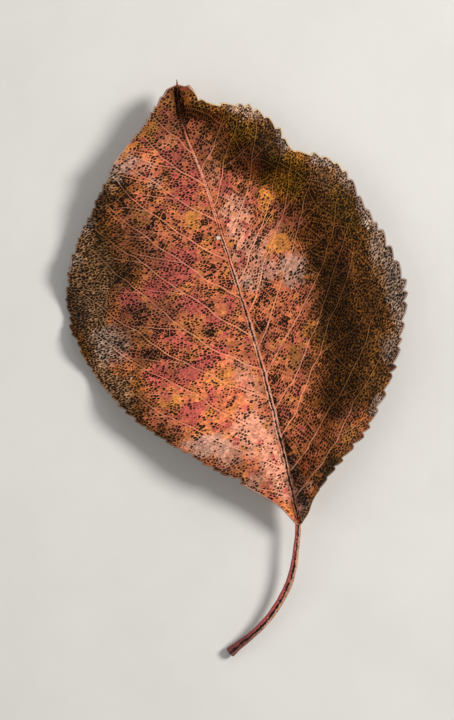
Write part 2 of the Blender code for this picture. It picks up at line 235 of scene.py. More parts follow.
# Painted light: these patches brighten the skin's colour where the blade faces the lamps.
LIGHT_PATCHES = [
    (-8.0, 23.0, 6.4, 6.4, -30, 0.58), (-13.0, 27.4, 3.2, 2.4, 0, 0.45), (-6.6, 31.4, 3.4, 2.4, 0, 0.50),
    (-23.4, 35.6, 3.4, 3.2, 0, 0.45), (-19.6, 31.0, 3.2, 2.6, 0, 0.55), (-13.0, 36.4, 2.6, 2.0, 0, 0.45),
    (8.0, 66.4, 2.6, 2.4, 0, 0.45), (2.0, 76.4, 1.6, 2.0, 0, 0.50),
    (-2.2, 14.0, 2.0, 10.0, 12, 0.50), (9.0, 72.6, 4.6, 2.2, -25, 0.80), (17.4, 62.4, 3.6, 2.0, -25, 0.90),
    (-1.0, 3.0, 1.6, 3.0, 10, 0.90), (0.8, 1.6, 1.2, 2.0, 0, 0.60), (12.0, 57.6, 3.0, 2.6, 0, 0.55),
    (17.4, 48.0, 2.6, 5.6, 0, 0.85), (6.0, 71.0, 2.4, 1.6, -10, 0.50),
    (13.0, 66.0, 1.4, 2.2, 0, 0.30), (3.4, 52.6, 2.2, 3.4, 0, 0.30), (-8.0, 67.4, 2.4, 1.8, 0, 0.30),
]
OLIVE_PATCHES = [
    (13.0, 58.4, 4.6, 4.6, -20, 1.0), (2.2, 75.6, 1.4, 2.4, 0, 0.8), (21.6, 50.0, 2.6, 6.0, 0, 0.7),
    (-20.0, 53.0, 5.0, 5.0, 0, 0.4), (-17.4, 40.0, 2.0, 3.0, 0, 0.5), (8.0, 68.6, 4.0, 2.0, -20, 0.7),
]
RUST_PATCHES = [
    (5.4, 14.0, 3.6, 7.0, -20, 0.62), (12.4, 14.0, 4.6, 3.4, 40, 0.60), (9.4, 25.0, 2.6, 6.0, -10, 0.50),
    (8.0, 62.6, 3.0, 3.0, 0, 0.45), (-15.6, 56.0, 3.0, 8.0, 0, 0.50), (-19.0, 42.0, 3.6, 5.0, 0, 0.60),
    (-22.0, 35.6, 3.0, 2.4, 0, 0.60), (3.4, 69.0, 2.6, 4.0, 0, 0.45), (12.0, 37.0, 2.0, 4.0, 0, 0.50),
    (-19.6, 28.0, 2.4, 4.0, 0, 0.45), (-12.0, 71.0, 4.0, 2.6, 30, 0.60), (4.0, 7.0, 2.0, 3.0, -30, 0.45),
    (13.0, 52.0, 2.6, 4.0, 0, 0.40), (20.0, 44.0, 1.6, 5.0, 0, 0.30), (-14.0, 19.6, 3.0, 2.0, -30, 0.50),
]
BEIGE_PATCHES = [
    (-24.0, 50.0, 6.0, 12.0, 10, 1.0), (-24.0, 33.0, 5.0, 9.0, -20, 0.9), (-18.0, 66.0, 5.0, 4.0, 30, 0.8),
    (-14.0, 16.0, 6.0, 3.0, -30, 0.8), (27.0, 40.0, 3.0, 14.0, 0, 0.6), (22.0, 57.0, 4.0, 4.0, -30, 0.5),
    (-12.0, 72.0, 5.0, 2.0, 30, 0.6), (11.0, 72.0, 5.0, 2.0, -30, 0.5), (-7.0, 7.0, 4.0, 2.0, 40, 0.6),
]


def smooth_line(stations, along):
    """Value at a height on a smooth curve through (height, value) stations."""
    last = len(stations) - 1
    along = min(max(along, stations[0][0]), stations[last][0])
    start = 0
    while start < last - 1 and along > stations[start + 1][0]:
        start += 1

    def slope(index):
        before = stations[max(index - 1, 0)]
        after = stations[min(index + 1, last)]
        return (after[1] - before[1]) / (after[0] - before[0])

    low, low_value = stations[start]
    high, high_value = stations[start + 1]
    span = high - low
    t = (along - low) / span
    rise = t * t * (3 - 2 * t)
    bend_in = t * (1 - t) * (1 - t) * span * slope(start)
    bend_out = t * t * (t - 1) * span * slope(start + 1)
    return low_value + (high_value - low_value) * rise + bend_in + bend_out


def ease(value, start, end):
    """Soft step from 0 at start to 1 at end."""
    t = min(max((value - start) / (end - start), 0.0), 1.0)
    return t * t * (3 - 2 * t)


def margin_x(side, y):
    """Place of the untoothed margin; the left one is ragged and has a small tear."""
    if side > 0:
        return smooth_line(RIGHT_MARGIN, y)
    tear = TEAR_DEPTH * math.exp(-(((y - TEAR_HEIGHT) / TEAR_WIDTH) ** 2))
    ragged = 0.45 * ease(y, 8, 20) * (1 - ease(y, 70, 77))
    ragged *= 1 + wander(0.0, y, 21.0, 2.6) + 0.7 * wander(0.0, y, 27.0, 1.1)
    return smooth_line(LEFT_MARGIN, y) + tear + ragged


def left_height(across, y):
    """The left half rises in an arch and its margin curls down."""
    arch = 0.40 * across - 0.0168 * across * across
    fold_line = 66.5 + 0.15 * across
    fold = 0.9 * math.exp(-(((y - fold_line) / 1.7) ** 2)) * ease(across, 0, 6)
    ripple = 1.1 * math.sin(math.tau * y / 13 + 1) * (across / 30) ** 2
    return arch + fold + ripple


def right_height(across, width, y):
    """The right half dips into a valley, climbs and rolls over at its margin."""
    opening = ease(y, 6, 32)
    inner_slope = 0.42 - 0.50 * opening
    valley = 1 + 9 * opening - 4 * ease(y, 50, 65)
    crest = max(width - 3.5, 0.62 * width)
    climb = 2.5 + 4.8 * ease(y, 0, 25) - 3.2 * ease(y, 55, 77)
    climb = min(climb, STEEPEST * width)
    run = max(crest - valley, 0.5 * width)
    height = inner_slope * min(across, valley + 2)
    height += climb * ease(across, crest - run, crest)
    height -= 0.13 * max(across - crest, 0.0) ** 2
    wave = 0.9 * math.sin(math.tau * (y - 59) / 14) * ease(y, 30, 50)
    return height + wave * (across / width) ** 3


def blade_height(x, y):
    """Height of the blade's upper side, without its small relief."""
    middle = smooth_line(MIDRIB_LINE, y)
    across = abs(x - middle)
    height = 2.2 * ((y - 38) / 42) ** 2 + 2.2 * ease(y, 66, 80)
    height += TIP_FOLD * min(across, 3.0) * ease(y, 68, 77)
    if x > middle:
        width = max(smooth_line(RIGHT_MARGIN, y) - middle, 0.3)
        height += right_height(across, width, y)
    else:
        height += left_height(across, y)
    channel = CHANNEL_DEPTH * math.exp(-((across / CHANNEL_HALF_WIDTH) ** 2))
    return height - channel + LEAN_ACROSS * x + LEAN_ALONG * y


BASE_HEIGHT = blade_height(0.0, 0.0)


def place(x, y, z):
    """Leaf millimetres to the frame's metres."""
    rise = z - BASE_HEIGHT + BASE_POINT[2]
    return Vector(((x + BASE_POINT[0]) * MM, (y + BASE_POINT[1]) * MM, rise * MM))


def leaf_point(position):
    """Frame metres back to leaf millimetres, seen from above."""
    return position.x / MM - BASE_POINT[0], position.y / MM - BASE_POINT[1]


# ------------------------------------------------------------------ vein layout

class Sites:
    """Points no closer to each other than they ask, kept in a grid of buckets."""

    def __init__(self, bucket):
        self.bucket = bucket
        self.grid = {}
        self.points = []
        self.inside = []

    def clear_of(self, x, y, gap):
        """True if no point lies closer than the gap."""
        column, row = int(x // self.bucket), int(y // self.bucket)
        for across in (-1, 0, 1):
            for along in (-1, 0, 1):
                for other_x, other_y in self.grid.get((column + across, row + along), ()):
                    if (x - other_x) ** 2 + (y - other_y) ** 2 < gap * gap:
                        return False
        return True

    def add(self, x, y, inside):
        """Keeps a point, and whether a cell is made round it."""
        key = int(x // self.bucket), int(y // self.bucket)
        self.grid.setdefault(key, []).append((x, y))
        self.points.append((x, y))
        self.inside.append(inside)


def wander(x, y, seed, size):
    """Smooth noise from -1 to 1 that changes over a length of size millimetres."""
    return noise.noise(Vector((x / size, y / size, seed)))


def vein_walk(x, y, angle, side, reach, bend, stop=None):
    """Points at even steps along a vein that bends towards the tip."""
    seed = 7.3 * angle + y
    points = [(x, y)]
    while len(points) < LONGEST_VEIN:
        sway = 0.34 * wander(x, y, seed, 3.0) + 0.26 * wander(x, y, seed + 5, 1.1)
        x += side * VEIN_STEP * math.cos(angle + sway)
        y += VEIN_STEP * math.sin(angle + sway)
        angle += bend * VEIN_STEP / BLADE_LENGTH
        middle = smooth_line(MIDRIB_LINE, y)
        width = abs(margin_x(side, y) - middle)
        if y > BLADE_LENGTH - 1.2 or abs(x - middle) > reach * width - 0.4:
            return points
        points.append((x, y))
        if stop and len(points) > 5 and stop.find((x, y, 0.0))[2] < MEETING_DISTANCE:
            return points
    return points


def side_vein_paths():
    """Side veins, and the forks they send out, as (points, start radius, end radius)."""
    trunks = []
    for side, starts in ((-1, LEFT_VEINS), (1, RIGHT_VEINS)):
        for start, degrees in starts:
            root_x = smooth_line(MIDRIB_LINE, start)
            trunk = vein_walk(root_x, start, math.radians(degrees), side, 0.93, VEIN_BEND)
            trunks.append((side, trunk, math.radians(degrees)))
    stop = point_tree([(trunk, 0, 0) for _side, trunk, _angle in trunks])[0]
    paths = [(trunk, *TRUNK_RADII) for _side, trunk, _angle in trunks]
    for side, trunk, angle in trunks:
        for share in FORK_SHARES:
            fork = int(len(trunk) * share)
            if fork < 8 or len(trunk) - fork < 8:
                continue
            heading = angle + VEIN_BEND * fork * VEIN_STEP / BLADE_LENGTH - FORK_TURN
            branch = vein_walk(*trunk[fork], heading, side, 0.92, FORK_BEND, stop)
            if len(branch) > 6:
                paths.append((branch, *FORK_RADII))
    return paths


def point_tree(paths):
    """Search tree of every point on a list of (points, start radius, end radius)."""
    owners = [(x, y, index) for index, path in enumerate(paths) for x, y in path[0]]
    tree = kdtree.KDTree(len(owners))
    for number, (x, y, _owner) in enumerate(owners):
        tree.insert((x, y, 0.0), number)
    tree.balance()
    return tree, owners


def midrib_path():
    """Points along the midrib, a vein's step apart."""
    heights = [VEIN_STEP * step for step in range(2, 157)]
    return [(smooth_line(MIDRIB_LINE, y), y) for y in heights]


def cross_vein_paths(main_paths):
    """Thin veins that leave each side vein and cross to the next one."""
    chooser = random.Random(11)
    tree, owners = point_tree([(midrib_path(), 0, 0)] + main_paths)
    crossings = []
    taken = Sites(CROSSING_BUCKET)
    for number, (points, _thick, _thin) in enumerate(main_paths):
        side = 1 if points[-1][0] > points[0][0] else -1
        index = chooser.randint(3, 6)
        while index < len(points) - 3:
            before, after = points[index - 1], points[index + 1]
            heading = math.atan2(after[1] - before[1], after[0] - before[0])
            for turn in (1, -1):
                lean = chooser.uniform(-0.35, 0.25)
                angle = heading + turn * side * (math.pi / 2 + lean)
                start = points[index]
                line = cross_walk(start, angle, number + 1, tree, owners)
                if line is None or len(line) < 5:
                    continue
                middle = line[len(line) // 2]
                if taken.clear_of(*middle, CROSSING_GAP):
                    taken.add(*middle, True)
                    crossings.append((line, *CROSS_RADII))
                if chooser.random() < 0.45:
                    break
            index += chooser.randint(4, 8)
    return crossings


def cross_walk(start, angle, owner, tree, owners):
    """Wavering line from one vein until it meets another; None if it runs off."""
    x, y = start
    line = [start]
    bend = wander(x, y, 3.1, 1.7) * 0.06
    while len(line) < LONGEST_CROSSING:
        angle += bend + 0.16 * wander(x, y, 9.7, 1.1)
        x += CROSS_STEP * math.cos(angle)
        y += CROSS_STEP * math.sin(angle)
        if not margin_x(-1, y) + 0.7 < x < margin_x(1, y) - 0.7 or not 1 < y < BLADE_LENGTH - 2:
            return line if len(line) > 6 else None
        line.append((x, y))
        _position, number, distance = tree.find((x, y, 0.0))
        if owners[number][2] != owner and distance < 0.35:
            line.append(owners[number][:2])
            return line
    return line


# -------------------------------------------------------------- toothed outline

# Teeth as (share of the tooth's length, share of its depth), from its base side.
RIGHT_TOOTH = [(0.0, 0.0), (0.20, 0.34), (0.42, 0.66), (0.64, 0.90), (0.84, 1.05), (0.95, 0.62)]
LEFT_TOOTH = [(0.0, 0.0), (0.30, 0.32), (0.60, 0.70), (0.88, 1.05)]
LEFT_TOOTH_SHARE = 0.68
# How far teeth differ in length and in depth, as shares of the usual tooth.
TOOTH_LENGTHS = (0.55, 1.45)
TOOTH_DEPTHS = (0.40, 1.30)
MARGIN_STEPS = 1600


def margin_teeth(side, pitch, depth, profile):
    """Points of one toothed margin from base to tip."""
    line = []
    walked = 0.0
    for step in range(MARGIN_STEPS + 1):
        y = BLADE_LENGTH * step / MARGIN_STEPS
        x = margin_x(side, y)
        if line:
            walked += math.hypot(x - line[-1][0], y - line[-1][1])
        line.append((x, y, walked))
    chooser = random.Random(5 + side)
    points = []
    start = 0.0
    index = 0
    while start < walked - 0.8 * pitch:
        tooth = pitch * chooser.uniform(*TOOTH_LENGTHS)
        fade = ease(start, 3, 16) * (1 - ease(start, walked - 6, walked - 1))
        size = depth * chooser.uniform(*TOOTH_DEPTHS) * fade
        for share, out in profile:
            target = start + share * tooth
            while index < MARGIN_STEPS - 1 and line[index + 1][2] < target:
                index += 1
            low, high = line[index], line[index + 1]
            run = math.hypot(high[0] - low[0], high[1] - low[1])
            push = side * size * (out - 0.4) / run
            across = (high[1] - low[1]) * push
            along = (low[0] - high[0]) * push
            points.append((low[0] + across, low[1] + along))
        start += tooth
    return points


def toothed_margin(side, sizes):
    """Margin of one half from base to tip, with its teeth."""
    share, profile = (1.0, RIGHT_TOOTH) if side > 0 else (LEFT_TOOTH_SHARE, LEFT_TOOTH)
    pitch, depth = share * sizes.tooth_pitch / MM, share * share * sizes.tooth_depth / MM
    points = margin_teeth(side, pitch, depth, profile)
    return [point for point in points if point[1] < BLADE_TOP - 0.4]


def half_outline(side, sizes):
    """Closed outline of one half: up its margin, and down along the midrib."""
    margin = toothed_margin(side, sizes)
    step = 0.9 * sizes.cell / MM
    last, top = margin[-1], (smooth_line(MIDRIB_LINE, BLADE_TOP), BLADE_TOP)
    count = int(math.dist(last, top) / step)
    for number in range(1, count + 1):
        share = number / count
        margin.append((last[0] + (top[0] - last[0]) * share, last[1] + (top[1] - last[1]) * share))
    count = int(BLADE_TOP / step)
    middle = []
    for number in range(count - 1, 0, -1):
        y = number * step
        x = smooth_line(MIDRIB_LINE, y)
        if min(abs(x - margin_x(side, y)), BLADE_TOP - y) > 0.35:
            middle.append((x, y))
    outline = margin + middle
    return outline if side > 0 else outline[::-1]


# ------------------------------------------------------------------ net of cells

class Lean:
    """Stretches one half of the blade across its veins, so that its cells come out long."""

    def __init__(self, side):
        angle = math.radians(CELL_LEAN[side])
        self.cos, self.sin = math.cos(angle), math.sin(angle)

    def flat(self, x, y):
        """Leaf millimetres to the leaning frame."""
        return (x * self.cos + y * self.sin) * CELL_SHORTENING, y * self.cos - x * self.sin

    def back(self, u, v):
        """Leaning frame to leaf millimetres."""
        u /= CELL_SHORTENING
        return u * self.cos - v * self.sin, u * self.sin + v * self.cos


def beside_line(sites, lean, points, gap, offset, inside):
    """Pairs of sites on both sides of a line, so that cells meet along it."""
    line = [lean.flat(x, y) for x, y in points]
    travelled = offset * 2
    for before, after in zip(line, line[1:]):
        run = math.hypot(after[0] - before[0], after[1] - before[1])
        travelled += run
        if run == 0 or travelled < offset * 1.9:
            continue
        travelled = 0.0
        across = (after[1] - before[1]) / run * offset
        along = (before[0] - after[0]) / run * offset
        pair = [(before[0] + across, before[1] + along), (before[0] - across, before[1] - along)]
        if all(sites.clear_of(*spot, gap) and inside(*lean.back(*spot)) for spot in pair):
            for spot in pair:
                sites.add(*spot, True)


def half_inside(side):
    """Test for a point well inside one half of the blade."""

    def inside(x, y):
        if not 0.2 < y < BLADE_TOP - 0.2:
            return False
        middle = smooth_line(MIDRIB_LINE, y)
        edge = margin_x(side, y)
        return min(middle, edge) + 0.3 < x < max(middle, edge) - 0.3

    return inside


def net_sites(side, outline, lean, paths, cell):
    """Middles of one half's cells, and ghosts outside its outline, in the leaning frame."""
    sites = Sites(NET_BUCKET)
    closed = [lean.flat(x, y) for x, y in outline + outline[:1]]
    rim = 0.36 * cell
    for before, after in zip(closed, closed[1:]):
        run = math.hypot(after[0] - before[0], after[1] - before[1])
        x, y = (before[0] + after[0]) / 2, (before[1] + after[1]) / 2
        across, along = (after[1] - before[1]) / run * rim, (before[0] - after[0]) / run * rim
        if sites.clear_of(x - across, y - along, rim):
            sites.add(x - across, y - along, True)
            sites.add(x + across, y + along, False)
    inside = half_inside(side)
    for points in paths:
        beside_line(sites, lean, points, 0.62 * cell, 0.42 * cell, inside)
    chooser = random.Random(23 + side)
    for _try in range(NET_TRIES):
        x = side * chooser.uniform(-2.0, 30.5)
        y = chooser.uniform(0.2, BLADE_LENGTH - 0.2)
        if not inside(x, y):
            continue
        spot = lean.flat(x, y)
        if sites.clear_of(*spot, cell * (0.74 + 0.16 * wander(x, y, 1.7, 5.0))):
            sites.add(*spot, True)
    return sites


def triangle_middle(a, b, c):
    """Point at equal distance from three sites, kept near their mean."""
    mean_x, mean_y = (a[0] + b[0] + c[0]) / 3, (a[1] + b[1] + c[1]) / 3
    bx, by = b[0] - a[0], b[1] - a[1]
    cx, cy = c[0] - a[0], c[1] - a[1]
    twice = 2 * (bx * cy - by * cx)
    if abs(twice) < 1e-9:
        return mean_x, mean_y
    b_square, c_square = bx * bx + by * by, cx * cx + cy * cy
    x = a[0] + (cy * b_square - by * c_square) / twice
    y = a[1] + (bx * c_square - cx * b_square) / twice
    away = math.hypot(x - mean_x, y - mean_y)
    if away > CORNER_REACH:
        x = mean_x + (x - mean_x) * CORNER_REACH / away
        y = mean_y + (y - mean_y) * CORNER_REACH / away
    return x, y


def net_polygons(sites, outline, lean):
    """Corner points, and one ring of corner numbers for each cell of the net."""
    flat = [Vector(point) for point in sites.points]
    _found, _edges, triangles, origins, _e, _f = geometry.delaunay_2d_cdt(flat, [], [], 0, 1e-7)
    old = [origin[0] if origin else None for origin in origins]
    edge_tree = kdtree.KDTree(len(outline))
    for number, point in enumerate(outline):
        edge_tree.insert((*lean.flat(*point), 0.0), number)
    edge_tree.balance()
    corners = list(outline)
    around = {}
    for triangle in triangles:
        names = [old[index] for index in triangle]
        inner = [name for name in names if name is not None and sites.inside[name]]
        if not inner:
            continue
        u, v = triangle_middle(*[sites.points[name] for name in names])
        if len(inner) < 3:
            corner = edge_tree.find((u, v, 0.0))[1]
        else:
            corner = len(corners)
            corners.append(lean.back(u, v))
        for name in inner:
            around.setdefault(name, []).append((corner, u, v))
    cells = {}
    for name, ring in around.items():
        site_u, site_v = sites.points[name]
        ring.sort(key=lambda item: math.atan2(item[2] - site_v, item[1] - site_u))
        numbers = []
        for corner, _u, _v in ring:
            if corner not in numbers:
                numbers.append(corner)
        if len(numbers) > 2:
            cells[name] = numbers
    return corners, cells


# ---------------------------------------------------------------- small relief

class Relief:
    """The blade's surface with puckers between its veins and soft crumples."""

    def __init__(self, main_paths, cross_paths, pucker):
        self.main_tree = point_tree([(midrib_path(), 0, 0)] + main_paths)[0]
        self.cross_tree = point_tree(cross_paths)[0]
        self.pucker = pucker

    def height(self, x, y):
        """Height of the upper side, in leaf millimetres."""
        to_main = self.main_tree.find((x, y, 0.0))[2]
        to_cross = self.cross_tree.find((x, y, 0.0))[2]
        puff = self.pucker * (1 - math.exp(-((to_main / 1.7) ** 2)))
        puff += 0.35 * self.pucker * (1 - math.exp(-((to_cross / 0.9) ** 2)))
        crumple = 0.26 * wander(x, y, 12.3, 6.5) + 0.09 * wander(x, y, 4.4, 2.4)
        return blade_height(x, y) + puff + crumple


def leaf_layout(settings):
    """Vein paths and relief, which every piece of the leaf follows."""
    main_paths = side_vein_paths()
    cross_paths = cross_vein_paths(main_paths)
    return main_paths, cross_paths, Relief(main_paths, cross_paths, settings.pucker / MM)


# ------------------------------------------------------------------- colour maps

# Each map holds three numbers for every cell and every point of a rib. The third number of wear is painted
# shade less painted light.
MAP_NAMES = ("zones", "wear", "dull")


def turned(patches):
    """Patches with the cosine and sine of their turn worked out, and their reach."""
    ready = []
    for across, along, half_x, half_y, turn, strength in patches:
        angle = math.radians(turn)
        reach = 1.3 * max(half_x, half_y)
        ready.append((across, along, half_x, half_y, math.cos(angle), math.sin(angle), strength, reach))
    return ready


PATCHES = {
    "rose": turned(ROSE_PATCHES),
    "pink": turned(PINK_PATCHES),
    "gold": turned(GOLD_PATCHES),
    "silver": turned(SILVER_PATCHES),
    "blotch_and_shadow": turned(BLOTCHES_AND_MIDRIB_SHADOW),
    "clean": turned(CLEAN_PATCHES),
    "shade": turned(SHADE_PATCHES),
    "light": turned(LIGHT_PATCHES),
    "olive": turned(OLIVE_PATCHES),
    "beige": turned(BEIGE_PATCHES),
    "rust": turned(RUST_PATCHES),
}


def patch_weight(kind, x, y):
    """Strength of the strongest patch of a kind at a point, soft at its edge."""
    weight = 0.0
    for across, along, half_x, half_y, cos, sin, strength, reach in PATCHES[kind]:
        dx, dy = x - across, y - along
        if abs(dx) > reach or abs(dy) > reach:
            continue
        distance = math.hypot((dx * cos + dy * sin) / half_x, (dy * cos - dx * sin) / half_y)
        weight = max(weight, strength * (1 - ease(distance, 0.65, 1.3)))
    return weight


def colour_maps(x, y):
    """Zones (warm, rose, gold), wear (silver, which is partly painted sheen, pink, and painted shade less
    painted light) and dull (olive, beige, tone).
    """
    px = x + 1.1 * wander(x, y, 5.0, 1.5) + 0.5 * wander(x, y, 5.5, 0.6)
    py = y + 1.1 * wander(x, y, 6.0, 1.5) + 0.5 * wander(x, y, 6.5, 0.6)
    edge = 3.0 * wander(x, y, 8.0, 4.5) + 2.0 * wander(x, y, 8.5, 1.4) + 1.2 * wander(x, y, 9.0, 0.6)
    warm = ease(px + edge - smooth_line(WARM_LEFT, y), -3.4, 3.0)
    warm *= ease(smooth_line(WARM_RIGHT, y) - px + edge, -2.6, 2.0)
    weights = {kind: patch_weight(kind, px, py) for kind in PATCHES}
    rose = weights["rose"] + 0.75 * ease(wander(x, y, 14.0, 1.9), 0.22, 0.55) * warm
    gold = weights["gold"] + 0.60 * ease(wander(x, y, 15.0, 1.7), 0.28, 0.60) * warm
    rust = weights["rust"] * (1 + 0.5 * wander(x, y, 10.0, 1.2))
    warm = max(warm, rust, 0.85 * weights["gold"], 0.85 * weights["rose"], 0.8 * weights["pink"])
    tone = 0.5 + 0.75 * wander(x, y, 16.0, 1.3)
    return (
        (warm, min(rose, 1.0), min(gold, 1.0)),
        # The third number of wear is painted shade less painted light.
        (weights["silver"], weights["pink"], weights["shade"] - weights["light"]),
        (weights["olive"], weights["beige"], tone),
    )


def spot_size(chooser, zones, wear, x, y):
    """How far a cell's dark spot reaches, from 0 for none to 1 for its whole floor."""
    warm, _rose, gold = zones
    # Shade here is painted shade less painted light.
    silver, _pink, shade = wear
    px, py = x + 0.5 * wander(x, y, 3.0, 0.8), y + 0.5 * wander(x, y, 4.0, 0.8)
    # Blotches make whole cells dark; the long one beside the midrib's base is painted shadow.
    blotch_and_shadow = patch_weight("blotch_and_shadow", px, py)
    clean = patch_weight("clean", px, py)
    chance = 0.64 - 0.26 * gold - 0.16 * silver - 0.42 * clean + 0.95 * wander(x, y, 17.0, 2.0)
    small = chooser.uniform(0.42, 0.88 - 0.20 * clean) if chooser.random() < chance else 0.0
    large = chooser.uniform(0.30, 0.74) - 0.12 * silver + 0.10 * shade
    faded = ease(1 - warm + 0.6 * chooser.uniform(-1, 1), 0.25, 0.75)
    size = small + (large - small) * faded
    return size + (0.97 - size) * ease(blotch_and_shadow + 0.5 * chooser.uniform(-1, 1), 0.3, 0.6)


def paint_points(mesh):
    """Gives a rib's vertices the colour maps of the blade under them."""
    layers = [mesh.attributes.new(name, "FLOAT_VECTOR", "POINT") for name in MAP_NAMES]
    for vert in mesh.vertices:
        for layer, value in zip(layers, colour_maps(*leaf_point(vert.co))):
            layer.data[vert.index].vector = value


# ------------------------------------------------------------------ shader nodes

BUMP_DISTANCE = 0.06 * MM


class Nodes:
    """Short calls that add nodes to a tree and join them."""

    def __init__(self, tree):
        self.tree = tree

    def add(self, kind, **settings):
        """New node with some of its settings."""
        node = self.tree.nodes.new(kind)
        for name, value in settings.items():
            setattr(node, name, value)
        return node

    def feed(self, socket, value):
        """Links an output to a socket, or sets the socket to a number or colour."""
        if isinstance(value, bpy.types.NodeSocket):
            self.tree.links.new(value, socket)
        else:
            socket.default_value = value

    def math(self, operation, *values):
        """Arithmetic on numbers and outputs."""
        node = self.add("ShaderNodeMath", operation=operation)
        for socket, value in zip(node.inputs, values):
            self.feed(socket, value)
        return node.outputs[0]

    def step(self, value, start, end, low=0.0, high=1.0):
        """Soft step of a value between two limits."""
        node = self.add("ShaderNodeMapRange", interpolation_type="SMOOTHSTEP")
        for socket, item in zip(node.inputs, (value, start, end, low, high)):
            self.feed(socket, item)
        return node.outputs[0]

    def mix(self, factor, first, second, blend="MIX"):
        """Two colours mixed by a factor."""
        node = self.add("ShaderNodeMix", data_type="RGBA", blend_type=blend)
        self.feed(node.inputs[0], factor)
        self.feed(node.inputs[6], first)
        self.feed(node.inputs[7], second)
        return node.outputs[2]

    def scaled(self, colour, share):
        """Colour times a number."""
        node = self.add("ShaderNodeCombineColor")
        for socket in node.inputs:
            self.feed(socket, share)
        return self.mix(1.0, colour, node.outputs[0], "MULTIPLY")

    def noise(self, scale, detail=2.0, roughness=0.5, lean=None, stretch=1.0):
        """Noise fixed to the leaf, with scale per metre, drawn out along a lean in degrees."""
        node = self.add("ShaderNodeTexNoise")
        position = self.add("ShaderNodeTexCoord").outputs["Object"]
        if lean is not None:
            turn = self.add("ShaderNodeMapping", vector_type="TEXTURE")
            turn.inputs["Rotation"].default_value = (0.0, 0.0, math.radians(lean))
            turn.inputs["Scale"].default_value = (stretch, 1.0, 1.0)
            self.feed(turn.inputs["Vector"], position)
            position = turn.outputs["Vector"]
        self.feed(node.inputs["Vector"], position)
        node.inputs["Scale"].default_value = scale
        node.inputs["Detail"].default_value = detail
        node.inputs["Roughness"].default_value = roughness
        return node.outputs["Fac"]

    def value(self, name):
        """A number stored on the mesh."""
        return self.add("ShaderNodeAttribute", attribute_name=name).outputs["Fac"]

    def vector(self, name):
        """Three numbers stored on the mesh."""
        return self.add("ShaderNodeAttribute", attribute_name=name).outputs["Vector"]

    def split(self, vector):
        """The three parts of a vector."""
        node = self.add("ShaderNodeSeparateXYZ")
        self.feed(node.inputs[0], vector)
        return list(node.outputs)


def new_group(name, inputs, outputs):
    """Shader group with named sockets, each given as (name, type) or (name, type, value)."""
    group = bpy.data.node_groups.new(name, "ShaderNodeTree")
    for label, kind, *value in inputs:
        socket = group.interface.new_socket(name=label, in_out="INPUT", socket_type=kind)
        if value:
            socket.default_value = value[0]
    for label, kind in outputs:
        group.interface.new_socket(name=label, in_out="OUTPUT", socket_type=kind)
    nodes = Nodes(group)
    given = nodes.add("NodeGroupInput").outputs
    return nodes, given, nodes.add("NodeGroupOutput").inputs


def full(colour):
    """A colour property as red, green, blue and alpha."""
    return (*colour, 1.0)


def tone_group(colours):
    """Skin colour of a point of the leaf, from its zones, wear and dull maps, with painted shade, painted
    light and painted sheen in it.
    """
    name = "leaf_tone"
    if name in bpy.data.node_groups:
        return bpy.data.node_groups[name]
    colour, vector, number = "NodeSocketColor", "NodeSocketVector", "NodeSocketFloat"
    inputs = [("Zones", vector), ("Wear", vector), ("Dull", vector)]
    for label in ("warm", "rose", "gold", "rust", "brown", "olive", "beige", "silver", "pink"):
        inputs.append((label.capitalize(), colour, full(getattr(colours, label))))
    nodes, given, out = new_group(name, inputs, [("Color", colour), ("Bloom_and_sheen", number)])
    warm, rose, gold = nodes.split(given["Zones"])
    # Silver is partly painted sheen; shade is painted shade less painted light.
    silver, pink, shade = nodes.split(given["Wear"])
    olive, beige, tone = nodes.split(given["Dull"])
    drift = nodes.noise(420.0, 3.0, 0.6)
    grain = nodes.noise(2100.0, 3.0, 0.6)
    hue = nodes.mix(nodes.step(drift, 0.50, 0.66, 0.0, 0.55), given["Warm"], given["Gold"])
    hue = nodes.mix(nodes.step(drift, 0.46, 0.32, 0.0, 0.55), hue, given["Rose"])
    hue = nodes.mix(nodes.step(pink, 0.1, 0.9, 0.0, 0.9), hue, given["Pink"])
    hue = nodes.mix(nodes.step(gold, 0.15, 0.75, 0.0, 0.9), hue, given["Gold"])
    hue = nodes.mix(nodes.step(rose, 0.15, 0.7, 0.0, 0.92), hue, given["Rose"])
    dull = nodes.mix(nodes.step(beige, 0.0, 1.0, 0.0, 0.9), given["Brown"], given["Beige"])
    dull = nodes.mix(nodes.step(olive, 0.1, 0.9, 0.0, 0.85), dull, given["Olive"])
    dull = nodes.mix(nodes.step(warm, 0.02, 0.42), dull, given["Rust"])
    hue = nodes.mix(nodes.step(warm, 0.40, 0.85), dull, hue)
    # Silver pales the colour: partly bleached bloom, partly painted sheen highlight; its share also lowers
    # roughness.
    pale = nodes.mix(nodes.math("MULTIPLY", warm, 0.45), given["Silver"], given["Pink"])
    bloom_and_sheen = nodes.math("MULTIPLY", silver, nodes.step(grain, 0.3, 0.6, 0.60, 0.98))
    hue = nodes.mix(bloom_and_sheen, hue, pale)
    # Brightness: the skin's random tone and grain, times painted shade and painted light from the shade
    # and light patches.
    light = nodes.math("MULTIPLY", nodes.step(tone, 0.0, 1.0, 0.72, 1.25),
                       nodes.step(grain, 0.25, 0.75, 0.80, 1.18))
    light = nodes.math("MULTIPLY", light, nodes.step(shade, -1.0, 1.0, 1.58, 0.42))
    nodes.feed(out["Color"], nodes.scaled(hue, light))
    nodes.feed(out["Bloom_and_sheen"], bloom_and_sheen)
    return bpy.data.node_groups[name]


